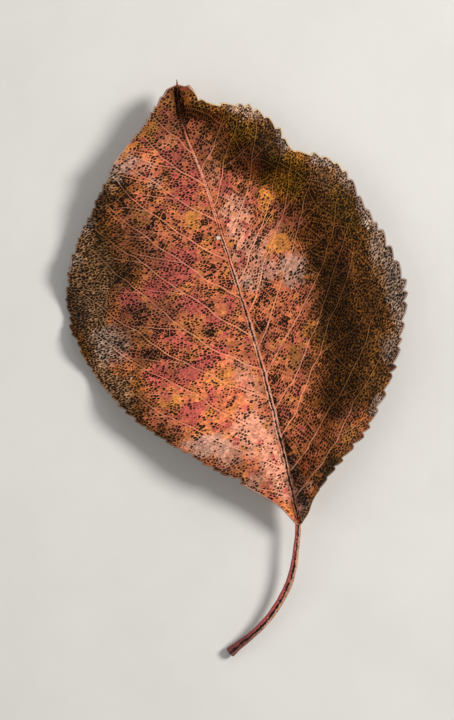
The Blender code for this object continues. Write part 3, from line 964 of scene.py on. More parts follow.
def grain_group():
    """Height of dry skin: fine fibres and faint wrinkles."""
    name = "dry_grain"
    if name in bpy.data.node_groups:
        return bpy.data.node_groups[name]
    number = "NodeSocketFloat"
    inputs = [("Fibre", number, 1.0), ("Wrinkle", number, 1.0), ("Relief", number, 0.0)]
    nodes, given, out = new_group(name, inputs, [("Height", number)])
    fibre = nodes.math("MULTIPLY", nodes.noise(5200.0, 3.0, 0.7), given["Fibre"])
    wrinkle = nodes.math("MULTIPLY", nodes.noise(1300.0, 4.0, 0.6), given["Wrinkle"])
    total = nodes.math("ADD", nodes.math("ADD", fibre, wrinkle), given["Relief"])
    nodes.feed(out["Height"], total)
    return bpy.data.node_groups[name]


def new_material(name, specular):
    """Material with its shader; returns it with its nodes and the shader's inputs."""
    material = bpy.data.materials.new(name)
    material.use_nodes = True
    inputs = material.node_tree.nodes["Principled BSDF"].inputs
    inputs["Specular IOR Level"].default_value = specular
    return material, Nodes(material.node_tree), inputs


def use_tone(nodes, colours):
    """The tone group, fed by the piece's three colour maps; returns colour and frost."""
    node = nodes.add("ShaderNodeGroup", node_tree=tone_group(colours))
    for socket, name in zip(node.inputs, MAP_NAMES):
        nodes.feed(socket, nodes.vector(name))
    return node.outputs["Color"], node.outputs["Bloom_and_sheen"]


def use_bump(nodes, inputs, strength, fibre, wrinkle, relief=0.0):
    """Grain and a material's own relief as a bump on its shader."""
    grain = nodes.add("ShaderNodeGroup", node_tree=grain_group())
    grain.inputs["Fibre"].default_value = fibre
    grain.inputs["Wrinkle"].default_value = wrinkle
    nodes.feed(grain.inputs["Relief"], relief)
    bump = nodes.add("ShaderNodeBump")
    bump.inputs["Strength"].default_value = strength
    bump.inputs["Distance"].default_value = BUMP_DISTANCE
    nodes.feed(bump.inputs["Height"], grain.outputs["Height"])
    nodes.feed(inputs["Normal"], bump.outputs["Normal"])


# --------------------------------------------------------------------- materials

def upper_material(colours, name, side):
    """Upper skin: light net, coloured cell floors, dark sunken spots, fine dry fibres and painted sheen
    along some of them.
    """
    material, nodes, inputs = new_material(name, 0.10)
    tone, bloom_and_sheen = use_tone(nodes, colours)
    reach, spot = nodes.value("areole"), nodes.value("spot")
    warm = nodes.split(nodes.vector("zones"))[0]
    faded = nodes.step(warm, 0.15, 0.85, 1.0, 0.25)
    ragged = nodes.noise(3600.0, 3.0, 0.65, CELL_LEAN[side], 1.8)
    fibre = nodes.noise(4300.0, 2.0, 0.55, CELL_LEAN[side], 3.4)
    edge = nodes.math("MULTIPLY_ADD", nodes.math("SUBTRACT", ragged, 0.5), 2.2, reach)
    gap = nodes.math("SUBTRACT", spot, edge)
    dark = nodes.math("MULTIPLY", nodes.step(gap, -0.06, 0.06), nodes.step(spot, 0.1, 0.25))
    crack = nodes.math("MULTIPLY", nodes.step(fibre, 0.475, 0.41), faded)
    dark = nodes.math("MAXIMUM", dark, crack)
    vein = nodes.step(reach, 0.72, 0.96)
    lifted = nodes.mix(nodes.step(warm, 0.0, 1.0, 0.02, 0.22), tone, full(colours.vein))
    lifted = nodes.scaled(lifted, 1.22)
    scorched = nodes.mix(1.0, tone, (0.66, 0.52, 0.36, 1.0), "MULTIPLY")
    floor = nodes.mix(nodes.step(warm, 0.1, 0.8), scorched, nodes.scaled(tone, 0.88))
    skin = nodes.mix(vein, floor, lifted)
    # Painted sheen: light glints along fibres of the faded skin, put into the colour; the bump also raises
    # them.
    shine = nodes.math("MULTIPLY", nodes.step(fibre, 0.53, 0.60), faded)
    skin = nodes.mix(nodes.math("MULTIPLY", shine, 0.75), skin, nodes.scaled(tone, 1.75))
    pit = nodes.mix(nodes.step(ragged, 0.4, 0.7, 0.0, 0.14), full(colours.spot), tone)
    nodes.feed(inputs["Base Color"], nodes.mix(dark, skin, pit))
    rough = nodes.step(ragged, 0.3, 0.7, 0.50, 0.66)
    rough = nodes.math("MULTIPLY_ADD", bloom_and_sheen, -0.14, rough)
    nodes.feed(inputs["Roughness"], nodes.math("MULTIPLY_ADD", dark, 0.22, rough))
    relief = nodes.math("MULTIPLY_ADD", dark, -1.6, nodes.math("MULTIPLY", vein, 0.9))
    relief = nodes.math("MULTIPLY_ADD", shine, 0.9, relief)
    use_bump(nodes, inputs, 0.9, 0.6, 0.8, relief)
    return material


def under_material(colours):
    """Underside: paler and duller, with a light net and brown cell floors."""
    material, nodes, inputs = new_material("under_skin", 0.30)
    tone, _bloom_and_sheen = use_tone(nodes, colours)
    felt = nodes.noise(1500.0, 4.0, 0.6)
    pale = nodes.mix(0.62, tone, full(colours.underside))
    floor = nodes.mix(1.0, pale, (0.62, 0.52, 0.44, 1.0), "MULTIPLY")
    skin = nodes.mix(nodes.step(nodes.value("areole"), 0.70, 0.98), floor, pale)
    nodes.feed(inputs["Base Color"], nodes.scaled(skin, nodes.step(felt, 0.3, 0.7, 0.80, 1.12)))
    nodes.feed(inputs["Roughness"], nodes.step(felt, 0.3, 0.7, 0.62, 0.80))
    use_bump(nodes, inputs, 0.6, 0.8, 1.0)
    return material


def rib_material(colours, name, lift, pale):
    """Skin over a rib: the blade's colour there, lightened towards the vein colour."""
    material, nodes, inputs = new_material(name, 0.20)
    tone, bloom_and_sheen = use_tone(nodes, colours)
    streak = nodes.noise(1500.0, 3.0, 0.6)
    warm = nodes.split(nodes.vector("zones"))[0]
    share = nodes.step(streak, 0.35, 0.7, 0.45 * pale, pale)
    share = nodes.math("MULTIPLY", share, nodes.step(warm, 0.0, 0.8, 0.12, 1.0))
    lifted = nodes.scaled(tone, nodes.step(streak, 0.35, 0.65, 0.75 * lift, lift))
    nodes.feed(inputs["Base Color"], nodes.mix(share, lifted, full(colours.vein)))
    rough = nodes.step(streak, 0.3, 0.7, 0.42, 0.58)
    nodes.feed(inputs["Roughness"], nodes.math("MULTIPLY_ADD", bloom_and_sheen, -0.08, rough))
    use_bump(nodes, inputs, 0.5, 0.6, 0.8)
    return material


def under_rib_material(colours):
    """Ribs under the blade: dry tan with darker fibres."""
    material, nodes, inputs = new_material("under_rib", 0.35)
    tone, _bloom_and_sheen = use_tone(nodes, colours)
    fibre = nodes.noise(2200.0, 4.0, 0.65)
    skin = nodes.mix(0.75, tone, full(colours.underside))
    nodes.feed(inputs["Base Color"], nodes.scaled(skin, nodes.step(fibre, 0.3, 0.7, 0.85, 1.30)))
    nodes.feed(inputs["Roughness"], nodes.step(fibre, 0.3, 0.7, 0.50, 0.68))
    use_bump(nodes, inputs, 0.5, 0.8, 1.0)
    return material


def rim_material(colours):
    """Thickened margin: pale where its pale map says so, which is painted highlight as if the edge caught
    the light; dull and darker elsewhere.
    """
    material, nodes, inputs = new_material("rim_skin", 0.30)
    tone, _bloom_and_sheen = use_tone(nodes, colours)
    blush = nodes.noise(420.0)
    # The pale map is painted highlight along the rim.
    pale = nodes.value("pale")
    rim_highlight_colour = nodes.mix(nodes.step(blush, 0.42, 0.60), full(colours.rim_blush), full(colours.silver))
    rim_highlight_colour = nodes.mix(nodes.step(pale, 0.80, 0.96), rim_highlight_colour, full(colours.rim))
    share = nodes.step(pale, 0.0, 0.9, 0.12, 0.92)
    nodes.feed(inputs["Base Color"], nodes.mix(share, nodes.scaled(tone, 0.72), rim_highlight_colour))
    nodes.feed(inputs["Roughness"], nodes.step(blush, 0.3, 0.7, 0.34, 0.50))
    use_bump(nodes, inputs, 0.4, 0.5, 0.8)
    return material


def stalk_material(colours):
    """Midrib and stalk: red left flank, tan right flank, and a groove and cut-end hollow darkened with
    painted shade.
    """
    material, nodes, inputs = new_material("stalk_skin", 0.25)
    flank, along = nodes.value("flank"), nodes.value("along")
    streak = nodes.noise(900.0, 4.0, 0.65)
    fleck = nodes.noise(2600.0, 3.0, 0.6)
    on_stalk = nodes.step(along, 0.27, 0.23)
    tan = nodes.mix(nodes.step(streak, 0.38, 0.62), full(colours.stalk_tan), full(colours.stalk_pale))
    red = nodes.mix(nodes.step(fleck, 0.38, 0.62), full(colours.stalk_red), full(colours.rose))
    sides = nodes.math("MULTIPLY_ADD", nodes.math("SUBTRACT", streak, 0.5), 0.35, flank)
    stalk = nodes.mix(nodes.step(sides, -0.02, -0.12), tan, red)
    stalk = nodes.mix(nodes.step(along, 0.085, 0.03, 0.0, 0.85), stalk, full(colours.stalk_end))
    scurf = nodes.math("MULTIPLY", nodes.step(fleck, 0.48, 0.58), nodes.step(flank, -0.28, -0.38))
    stalk = nodes.mix(nodes.math("MULTIPLY", scurf, 0.7), stalk, full(colours.silver))
    tone, _bloom_and_sheen = use_tone(nodes, colours)
    patchy = nodes.noise(330.0, 3.0, 0.6)
    share = nodes.step(patchy, 0.38, 0.62, 0.10, 0.75)
    share = nodes.math("MULTIPLY", share, nodes.step(along, 0.86, 0.93, 1.0, 0.06))
    rib = nodes.mix(share, nodes.scaled(tone, 1.10), full(colours.midrib))
    rib = nodes.mix(nodes.step(along, 0.980, 0.992), rib, full(colours.stalk_end))
    skin = nodes.mix(on_stalk, rib, stalk)
    below = nodes.step(nodes.math("ABSOLUTE", flank), 0.42, 0.60, 0.0, 0.65)
    skin = nodes.mix(below, skin, full(colours.underside))
    # Painted shade: the groove map darkens the groove and the cut end's hollow to near black; the specks
    # are the skin's own.
    ragged = nodes.math("MULTIPLY_ADD", nodes.math("SUBTRACT", fleck, 0.5), 1.6, nodes.value("groove"))
    ragged = nodes.math("MULTIPLY_ADD", nodes.math("SUBTRACT", streak, 0.5), 1.7, ragged)
    specks = nodes.step(fleck, 0.57, 0.62, 0.0, 0.8)
    dark = nodes.math("MAXIMUM", nodes.step(ragged, 0.55, 0.70), specks)
    nodes.feed(inputs["Base Color"], nodes.mix(dark, skin, full(colours.spot)))
    nodes.feed(inputs["Roughness"], nodes.step(streak, 0.3, 0.7, 0.40, 0.58))
    use_bump(nodes, inputs, 0.8, 0.8, 1.4, nodes.math("MULTIPLY", dark, -0.9))
    return material


def speck_material(colours):
    """Small cream scale on the blade."""
    material, nodes, inputs = new_material("scale_skin", 0.5)
    cloud = nodes.noise(2600.0, 3.0, 0.6)
    skin = nodes.mix(nodes.step(cloud, 0.35, 0.65), full(colours.rim), full(colours.speck))
    nodes.feed(inputs["Base Color"], skin)
    nodes.feed(inputs["Roughness"], nodes.step(cloud, 0.3, 0.7, 0.35, 0.55))
    use_bump(nodes, inputs, 0.5, 0.8, 1.0)
    return material


def floor_material():
    """Matt pale paper."""
    material, nodes, inputs = new_material("pale_floor", 0.2)
    cloud = nodes.noise(40.0, 4.0, 0.6)
    light, dark = (0.80, 0.79, 0.77, 1.0), (0.76, 0.75, 0.73, 1.0)
    nodes.feed(inputs["Base Color"], nodes.mix(nodes.step(cloud, 0.3, 0.7), light, dark))
    nodes.feed(inputs["Roughness"], nodes.step(cloud, 0.3, 0.7, 0.80, 0.90))
    return material


# ------------------------------------------------------------------- mesh making

# Material slots of the blade's underside and edge; its upper skin is slot 0.
UNDER, EDGE = 1, 2
# Millimetres of leaf that the whole width of its flat map shows.
MAP_WIDTH = 84.0
# Width of a cell's floor as a share of the cell.
FLOOR_SHARE = 0.74
SHARP_FOLD = math.radians(70)


def add_piece(name, mesh, *materials):
    """Links a finished mesh, smooth but for its sharp folds, and rides it on the root."""
    for material in materials:
        mesh.materials.append(material)
    mesh.shade_smooth()
    mesh.set_sharp_from_angle(angle=SHARP_FOLD)
    piece = bpy.data.objects.new(name, mesh)
    bpy.context.scene.collection.objects.link(piece)
    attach(piece, "root")
    return piece


def finished_mesh(name, shape):
    """Mesh made from a bmesh, which is then freed."""
    mesh = bpy.data.meshes.new(name)
    shape.to_mesh(mesh)
    shape.free()
    return mesh


def sink_cells(shape, faces, spots, relief):
    """Insets each cell and sinks its floor, deeper where it is dark."""
    values = shape.verts.layers.float["areole"]
    bmesh.ops.inset_individual(shape, faces=faces, thickness=0.0, depth=0.0)
    drops = []
    for face in faces:
        middle = face.calc_center_median()
        depth = relief * (0.35 + 0.65 * face[spots])
        for vert in face.verts:
            vert.co = middle + (vert.co - middle) * FLOOR_SHARE
            vert.co.z -= 0.35 * depth
            vert[values] = FLOOR_SHARE
        drops.append(0.65 * depth)
    middles = bmesh.ops.poke(shape, faces=faces, center_mode="MEAN")["verts"]
    for vert, drop in zip(middles, drops):
        vert.co.z -= drop
        vert[values] = 0.0


def unfold_half(shape, side):
    """Flat map of both sides, side by side; the edge folds out round the upper side."""
    layer = shape.loops.layers.uv.new("OFBake")
    for face in shape.faces:
        kind = face.material_index
        low = face.calc_center_median().z
        for loop in face.loops:
            x, y = leaf_point(loop.vert.co)
            if kind == EDGE and loop.vert.co.z < low:
                x += 0.5 * face.normal.x
                y += 0.5 * face.normal.y
            across = (side * x + 3) / MAP_WIDTH + (0.5 if kind == UNDER else 0.0)
            loop[layer].uv = (across, (y + 2) / MAP_WIDTH)


def half_mesh(side, sizes, layout):
    """One half of the blade: both skins of its vein net, and the edge round them."""
    main_paths, cross_paths, relief = layout
    lean = Lean(side)
    outline = half_outline(side, sizes)
    paths = [points for points, _thick, _thin in main_paths + cross_paths]
    sites = net_sites(side, outline, lean, paths, sizes.cell / MM)
    corners, cells = net_polygons(sites, outline, lean)
    shape = bmesh.new()
    values = shape.verts.layers.float.new("areole")
    spots = shape.faces.layers.float.new("spot")
    layers = [shape.faces.layers.float_vector.new(name) for name in MAP_NAMES]
    verts = [shape.verts.new(place(x, y, relief.height(x, y))) for x, y in corners]
    chooser = random.Random(41 + side)
    upper = []
    for site, ring in cells.items():
        face = shape.faces.new([verts[corner] for corner in ring])
        x, y = lean.back(*sites.points[site])
        maps = colour_maps(x, y)
        face[spots] = spot_size(chooser, *maps[:2], x, y)
        for layer, value in zip(layers, maps):
            face[layer] = Vector(value)
        face[layers[2]].z += 0.4 * chooser.uniform(-1, 1)
        upper.append(face)
    loose = [vert for vert in shape.verts if not vert.link_faces]
    bmesh.ops.delete(shape, geom=loose, context="VERTS")
    shape.normal_update()
    top = set(shape.verts)
    bmesh.ops.solidify(shape, geom=upper, thickness=sizes.thickness)
    under = []
    for face in shape.faces:
        above = sum(vert in top for vert in face.verts)
        if above == 0:
            under.append(face)
            face.material_index = UNDER
        elif above < len(face.verts):
            face.material_index = EDGE
    for vert in shape.verts:
        vert[values] = 1.0
    sink_cells(shape, upper, spots, sizes.net_relief)
    for vert in bmesh.ops.poke(shape, faces=under, center_mode="MEAN")["verts"]:
        vert.co.z += 0.6 * sizes.net_relief
        vert[values] = 0.0
    shape.normal_update()
    unfold_half(shape, side)
    return finished_mesh("blade_half", shape)


def tube_mesh(name, lines, sides=1, closed=False):
    """Round tubes along lines of (place, radius in metres), as one mesh."""
    curve = bpy.data.curves.new(name, "CURVE")
    curve.dimensions = "3D"
    curve.bevel_depth = 1.0
    curve.bevel_resolution = sides
    curve.use_fill_caps = not closed
    for line in lines:
        spline = curve.splines.new("POLY")
        spline.points.add(len(line) - 1)
        spline.use_cyclic_u = closed
        for point, (position, radius) in zip(spline.points, line):
            point.co = (*position, 1.0)
            point.radius = radius
    holder = bpy.data.objects.new(name, curve)
    made = bpy.data.meshes.new_from_object(holder)
    bpy.data.objects.remove(holder)
    bpy.data.curves.remove(curve)
    shape = bmesh.new()
    shape.from_mesh(made)
    bpy.data.meshes.remove(made)
    bmesh.ops.remove_doubles(shape, verts=shape.verts, dist=1e-7)
    bmesh.ops.recalc_face_normals(shape, faces=shape.faces)
    return finished_mesh(name, shape)


def rib_lines(paths, relief, scale, top):
    """Tube lines along veins, with their tops this far above the upper skin."""
    lines = []
    for points, thick, thin in paths:
        line = []
        for number, (x, y) in enumerate(points):
            radius = scale * (thick + (thin - thick) * number / (len(points) - 1))
            radius *= 1 + 0.25 * wander(x, y, 51.0, 1.2)
            sunk = 0.05 * max(wander(x, y, 53.0, 2.4) - 0.05, 0.0)
            centre = relief.height(x, y) + top - sunk - radius
            line.append((place(x, y, centre), radius * MM))
        lines.append(line)
    return lines


def rim_line(outline, relief):
    """Middle line and radii of the rim along the margin, thickest on the right."""
    line = []
    for x, y in outline:
        right = ease(x, -2, 6)
        radius = 0.13 + 0.07 * right + 0.03 * wander(x, y, 2.2, 3.0)
        radius *= 0.75 + 0.25 * ease(y, 2, 12)
        line.append((place(x, y, relief.height(x, y) - 0.10), radius * MM))
    return line


def rim_highlight(x, y):
    """How pale the rim is painted, as highlight where its edge would catch the light: most at the upper
    right, least on the left.
    """
    top_right = ease(y, 52, 58) * ease(x, -1, 3)
    right = 0.70 * ease(x, 5, 10) * (0.6 + 0.4 * wander(x, y, 3.3, 5.0))
    top_left = 0.55 * ease(y, 64, 70) * (1 - ease(x, -3, 0))
    right *= 0.25 + 0.75 * ease(y, 8, 22)
    base = 0.5 * (1 - ease(y, 6, 12)) * (1 - ease(x, -1, 1))
    return min(max(top_right, right, top_left, base), 1.0)


# Angles of a ring's points from its top, down one flank, closest at the groove.
RING_ANGLES = (0, 9, 17, 25, 34, 46, 64, 88, 114, 140, 165)
STALK_STEPS = 90
MIDRIB_STEPS = 170


def smooth_through(points, share):
    """Point at a share of the way along a smooth curve through points."""
    position = share * (len(points) - 1)
    return [
        smooth_line([(number, point[axis]) for number, point in enumerate(points)], position)
        for axis in range(len(points[0]))
    ]


def stalk_stations(relief):
    """Rod stations from the stalk's cut end to the tip: (place, half width, share along)."""
    end = len(STALK_LINE) - 1
    end_fall = BASE_POINT[2] - STALK_RADII[-1]
    reversed_line = [(*STALK_LINE[i], STALK_RADII[i]) for i in range(end, -1, -1)]
    stations = []
    for step in range(STALK_STEPS):
        share = step / STALK_STEPS
        x, y, radius = smooth_through(reversed_line, share)
        fall = STALK_END_FALL + (end_fall - STALK_END_FALL) * (1 - share) ** STALK_DROP_POWER
        stations.append((x, y, BASE_HEIGHT - fall, radius))
    first = stations[-1]
    for step in range(MIDRIB_STEPS + 1):
        y = MIDRIB_START + MIDRIB_RUN * step / MIDRIB_STEPS
        x = smooth_line(MIDRIB_LINE, y)
        waver = 0.16 * wander(0.0, y, 31.0, 3.6) + 0.10 * wander(0.0, y, 33.0, 1.3)
        x += waver * ease(BLADE_TOP - y, 0, 6)
        radius = 0.54 + 0.08 * ease(y, 3, 12) - 0.36 * ease(y, 24, 74)
        radius *= 1 - 0.75 * ease(y, 78.4, 79.9)
        centre = relief.height(x, y) - 0.42 * radius - 0.04 - 0.12 * ease(y, 66, 75)
        blend = ease(y, 1.0, 4.0)
        centre = first[2] + (centre - first[2]) * blend if blend < 1 else centre
        stations.append((x, y, centre, radius))
    return stations


def groove_angle(angle, y):
    """Angle on the rod as its wavering groove sees it."""
    return angle - 13 * wander(0.0, y, 41.0, 1.6) - 8 * wander(0.0, y, 43.0, 0.7)


def rod_profile(angle, along):
    """Radius of the rod at an angle from its top, as a share: a groove between shoulders."""
    depth = 0.22 + 0.26 * ease(along, 0.26, 0.34)
    groove = depth * (1 - ease(along, 0.72, 0.9)) * math.exp(-((angle / 16) ** 2))
    shoulder = 0.08 * math.exp(-(((abs(angle) - 42) / 14) ** 2))
    return 1 - groove + shoulder


# Rings of the hollow in the cut end, as (depth, half width), from its floor outwards.
HOLLOW_RINGS = ((0.95, 0.12), (0.90, 0.40), (0.45, 0.58), (0.08, 0.74), (-0.03, 0.88))


def rod_rings(stations):
    """Rings of the rod as (centre, forward, half width, share along, hollow or not)."""
    centres = [place(x, y, z) for x, y, z, _radius in stations]
    lengths = [0.0]
    for before, after in zip(centres, centres[1:]):
        lengths.append(lengths[-1] + (after - before).length)
    rings = []
    for step, centre in enumerate(centres):
        behind, ahead = centres[max(step - 1, 0)], centres[min(step + 1, len(centres) - 1)]
        forward = (ahead - behind).normalized()
        rings.append((centre, forward, stations[step][3], lengths[step] / lengths[-1], False))
    start, forward = rings[0][:2]
    hollow = [(start + forward * depth * MM, forward, size, 0.0, True) for depth, size in HOLLOW_RINGS]
    return hollow + rings


def stalk_mesh(sizes):
    """Stalk and midrib: one ring, extruded out of the hollow end and on to the tip."""
    relief = leaf_layout(sizes)[2]
    angles = [*RING_ANGLES, 180, *[-angle for angle in RING_ANGLES[:0:-1]]]
    shape = bmesh.new()
    spoke = shape.verts.layers.int.new("spoke")
    names = ("flank", "groove", "along")
    flank, groove, along = [shape.verts.layers.float.new(name) for name in names]
    ring = bmesh.ops.create_circle(shape, segments=len(angles), radius=MM)["verts"]
    for number, vert in enumerate(ring):
        vert[spoke] = number
    edges = list(shape.edges)
    bmesh.ops.contextual_create(shape, geom=edges)
    for number, (centre, forward, size, share, hollow) in enumerate(rod_rings(stalk_stations(relief))):
        if number:
            made = bmesh.ops.extrude_edge_only(shape, edges=edges)["geom"]
            ring = [item for item in made if isinstance(item, bmesh.types.BMVert)]
            fresh = set(ring)
            edges = [item for item in made if isinstance(item, bmesh.types.BMEdge)]
            edges = [edge for edge in edges if edge.verts[0] in fresh and edge.verts[1] in fresh]
        right = forward.cross(Vector((0, 0, 1))).normalized()
        up = right.cross(forward)
        fade = 1 - ease(share, 0.72, 0.86)
        for vert in ring:
            angle = angles[vert[spoke]]
            turn = math.radians(angle)
            outward = right * math.sin(turn) + up * math.cos(turn)
            x, y = leaf_point(centre + outward * size * MM)
            wear = 1 + 0.07 * wander(x, y, angle / 40, 1.1)
            seen = groove_angle(angle, leaf_point(centre)[1])
            profile = 1.0 if hollow else rod_profile(seen, share)
            vert.co = centre + outward * size * wear * profile * MM
            vert[flank] = angle / 180
            # The groove map also covers the cut end's hollow, which the stalk's skin darkens as painted
            # shade.
            vert[groove] = 1.0 if hollow else math.exp(-((seen / 24) ** 2)) * fade
            vert[along] = share
    bmesh.ops.contextual_create(shape, geom=edges)
    bmesh.ops.recalc_face_normals(shape, faces=shape.faces)
    return finished_mesh("stalk_and_midrib", shape)


def speck_mesh(sizes):
    """A small scale: a ball pressed flat on the skin."""
    relief = leaf_layout(sizes)[2]
    shape = bmesh.new()
    bmesh.ops.create_icosphere(shape, subdivisions=3, radius=1.0)
    x, y = SPECK_PLACE
    centre = place(x, y, relief.height(x, y))
    for vert in shape.verts:
        bumpy = 1 + 0.22 * noise.noise(vert.co * 1.6)
        stretch = Vector(SPECK_HALF_SIZES) * MM * bumpy
        vert.co = centre + Vector(a * b for a, b in zip(vert.co, stretch))
    return finished_mesh("pale_speck", shape)


# ------------------------------------------------------------------------- stage

FLOOR_SIZE = 3.0
CAMERA_TURN = math.radians(-15.4)
VIEW_CENTRE = (-0.0040, 0.0005)
CAMERA_HEIGHT = 0.421
CAMERA_LENS = 120.0
# Lamps as (name, towards the view's right, towards its top, up, size, watts, colour).
LAMPS = [
    ("key", 0.42, 0.16, 0.44, 0.20, 3.3, (1.0, 0.97, 0.93)),
    ("fill", -0.50, -0.10, 0.55, 0.60, 0.7, (1.0, 0.98, 0.95)),
    ("top", 0.05, 0.60, 0.50, 0.40, 0.6, (1.0, 1.0, 1.0)),
]


def make_floor():
    """Wide pale floor under the leaf."""
    shape = bmesh.new()
    bmesh.ops.create_grid(shape, x_segments=4, y_segments=4, size=FLOOR_SIZE / 2)
    low = min(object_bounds()[0][2], 0.0)
    bmesh.ops.translate(shape, verts=shape.verts, vec=(0, 0, low))
    mesh = finished_mesh("floor", shape)
    mesh.materials.append(floor_material())
    floor = bpy.data.objects.new("floor", mesh)
    bpy.context.scene.collection.objects.link(floor)
    floor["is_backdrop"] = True


def make_lamps():
    """Soft round lamps that face the leaf."""
    target = Vector((*VIEW_CENTRE, 0.005))
    right = Vector((math.cos(CAMERA_TURN), math.sin(CAMERA_TURN), 0))
    top = Vector((-right.y, right.x, 0))
    for name, across, along, height, size, power, colour in LAMPS:
        light = bpy.data.lights.new(name, "AREA")
        light.shape = "DISK"
        light.size = size
        light.energy = power
        light.color = colour
        lamp = bpy.data.objects.new(name, light)
        bpy.context.scene.collection.objects.link(lamp)
        lamp.location = target + right * across + top * along + Vector((0, 0, height))
        lamp.rotation_euler = (target - lamp.location).to_track_quat("-Z", "Y").to_euler()


def make_camera():
    """Camera straight above the leaf."""
    data = bpy.data.cameras.new("camera")
    data.lens = CAMERA_LENS
    data.clip_start = 0.01
    camera = bpy.data.objects.new("camera", data)
    bpy.context.scene.collection.objects.link(camera)
    camera.location = (*VIEW_CENTRE, CAMERA_HEIGHT)
    camera.rotation_euler = (0.0, 0.0, CAMERA_TURN)
    bpy.context.scene.camera = camera


def make_world():
    """Dim even light from all round, with colours shown as they are."""
    world = bpy.data.worlds.new("studio")
    world.use_nodes = True
    backdrop = world.node_tree.nodes["Background"].inputs
    backdrop["Color"].default_value = (1.0, 0.98, 0.95, 1.0)
    backdrop["Strength"].default_value = 0.25
    bpy.context.scene.world = world
    bpy.context.scene.view_settings.view_transform = "Standard"


# -------------------------------------------------------------------- properties

def length(name, description, default, soft_max):
    """A size that the user may change, in metres."""
    return bpy.props.FloatProperty(
        name=name, description=description, default=default, min=0.0, soft_max=soft_max,
        subtype="DISTANCE", unit="LENGTH", precision=5,
    )


def tint(name, description, default):
    """A colour that the user may change."""
    return bpy.props.FloatVectorProperty(
        name=name, description=description, default=default, size=3, min=0.0, max=1.0,
        subtype="COLOR",
    )


class LeafSizes(bpy.types.PropertyGroup):
    """Sizes of the leaf's details; the blade's own size comes from its frame."""

    cell: length("Cell", "Width of a cell of the vein net", 0.00045, 0.002)
    thickness: length("Thickness", "Thickness of the blade between its cells", 0.00032, 0.001)
    net_relief: length("Net relief", "Depth of a cell's floor under its veins", 0.00013, 0.0005)
    pucker: length("Pucker", "How far the blade swells between its veins", 0.00034, 0.001)
    tooth_pitch: length("Tooth pitch", "Length of a tooth along the margin", 0.0025, 0.005)
    tooth_depth: length("Tooth depth", "How far a tooth stands out", 0.0008, 0.001)


class LeafColours(bpy.types.PropertyGroup):
    """Colours of the leaf's skins."""

    warm: tint("Warm", "Salmon orange skin in the middle of the blade", (0.63, 0.165, 0.068))
    rose: tint("Rose", "Red patches", (0.48, 0.080, 0.066))
    gold: tint("Gold", "Yellow patches", (0.68, 0.25, 0.042))
    rust: tint("Rust", "Orange brown skin round the middle", (0.34, 0.110, 0.024))
    pink: tint("Pink", "Pale pink skin near the midrib", (0.72, 0.31, 0.20))
    brown: tint("Brown", "Faded skin outside the middle", (0.25, 0.098, 0.018))
    olive: tint("Olive", "Greenish brown skin", (0.27, 0.130, 0.010))
    beige: tint("Beige", "Greyish tan skin towards the margin", (0.35, 0.190, 0.100))
    # Silver is bleached bloom and, on the blade, also painted sheen highlight; it colours the stalk's
    # scurf and the rim too.
    silver: tint("Silver", "Bleached patches", (0.44, 0.34, 0.29))
    vein: tint("Vein", "Pale veins", (0.80, 0.38, 0.23))
    spot: tint("Spot", "Dark spots in the cells", (0.009, 0.005, 0.003))
    underside: tint("Underside", "Dry tan of the underside", (0.30, 0.185, 0.105))
    # Rim and rim blush colour the painted highlight along the rim; rim also colours the pale speck.
    rim: tint("Rim", "Horny rim", (0.68, 0.50, 0.32))
    rim_blush: tint("Rim blush", "Pink stretches of the rim", (0.50, 0.35, 0.29))
    stalk_tan: tint("Stalk tan", "Right flank of the stalk", (0.48, 0.24, 0.15))
    stalk_pale: tint("Stalk pale", "Light streaks of the stalk's right flank", (0.66, 0.38, 0.26))
    stalk_red: tint("Stalk red", "Left flank of the stalk", (0.56, 0.105, 0.120))
    stalk_end: tint("Stalk end", "Dark red of the stalk's end", (0.17, 0.042, 0.046))
    midrib: tint("Midrib", "Shoulders of the midrib", (0.80, 0.42, 0.30))
    speck: tint("Speck", "Cream scale on the blade", (0.80, 0.70, 0.52))


# --------------------------------------------------------------------- operators

class LEAF_OT_blade(bpy.types.Operator):
    """Build the two halves of the blade, which meet under the midrib"""

    bl_idname = "leaf.blade"
    bl_label = "Blade"

    def execute(self, context):
        sizes, colours = context.scene.leaf_sizes, context.scene.leaf_colours
        under, edge = under_material(colours), rim_material(colours)
        layout = leaf_layout(sizes)
        for name, side in (("blade_left", -1), ("blade_right", 1)):
            upper = upper_material(colours, name + "_skin", side)
            piece = add_piece(name, half_mesh(side, sizes, layout), upper, under, edge)
            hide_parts("leaf")
        return {"FINISHED"}


class LEAF_OT_veins(bpy.types.Operator):
    """Build the side veins and cross veins on both sides of the blade"""

    bl_idname = "leaf.veins"
    bl_label = "Veins"

    def execute(self, context):
        colours = context.scene.leaf_colours
        main_paths, cross_paths, relief = leaf_layout(context.scene.leaf_sizes)
        plans = [
            ("side_veins", main_paths, 0.60, 0.055),
            ("cross_veins", cross_paths, 0.66, 0.022),
            ("under_side_veins", main_paths, 0.80, -0.15),
            ("under_cross_veins", cross_paths, 0.95, -0.20),
        ]
        skins = {
            "side_veins": rib_material(colours, "side_vein_skin", 1.35, 0.66),
            "cross_veins": rib_material(colours, "cross_vein_skin", 1.05, 0.16),
        }
        under = under_rib_material(colours)
        for name, paths, scale, top in plans:
            mesh = tube_mesh(name, rib_lines(paths, relief, scale, top))
            paint_points(mesh)
            add_piece(name, mesh, skins.get(name, under))
        return {"FINISHED"}


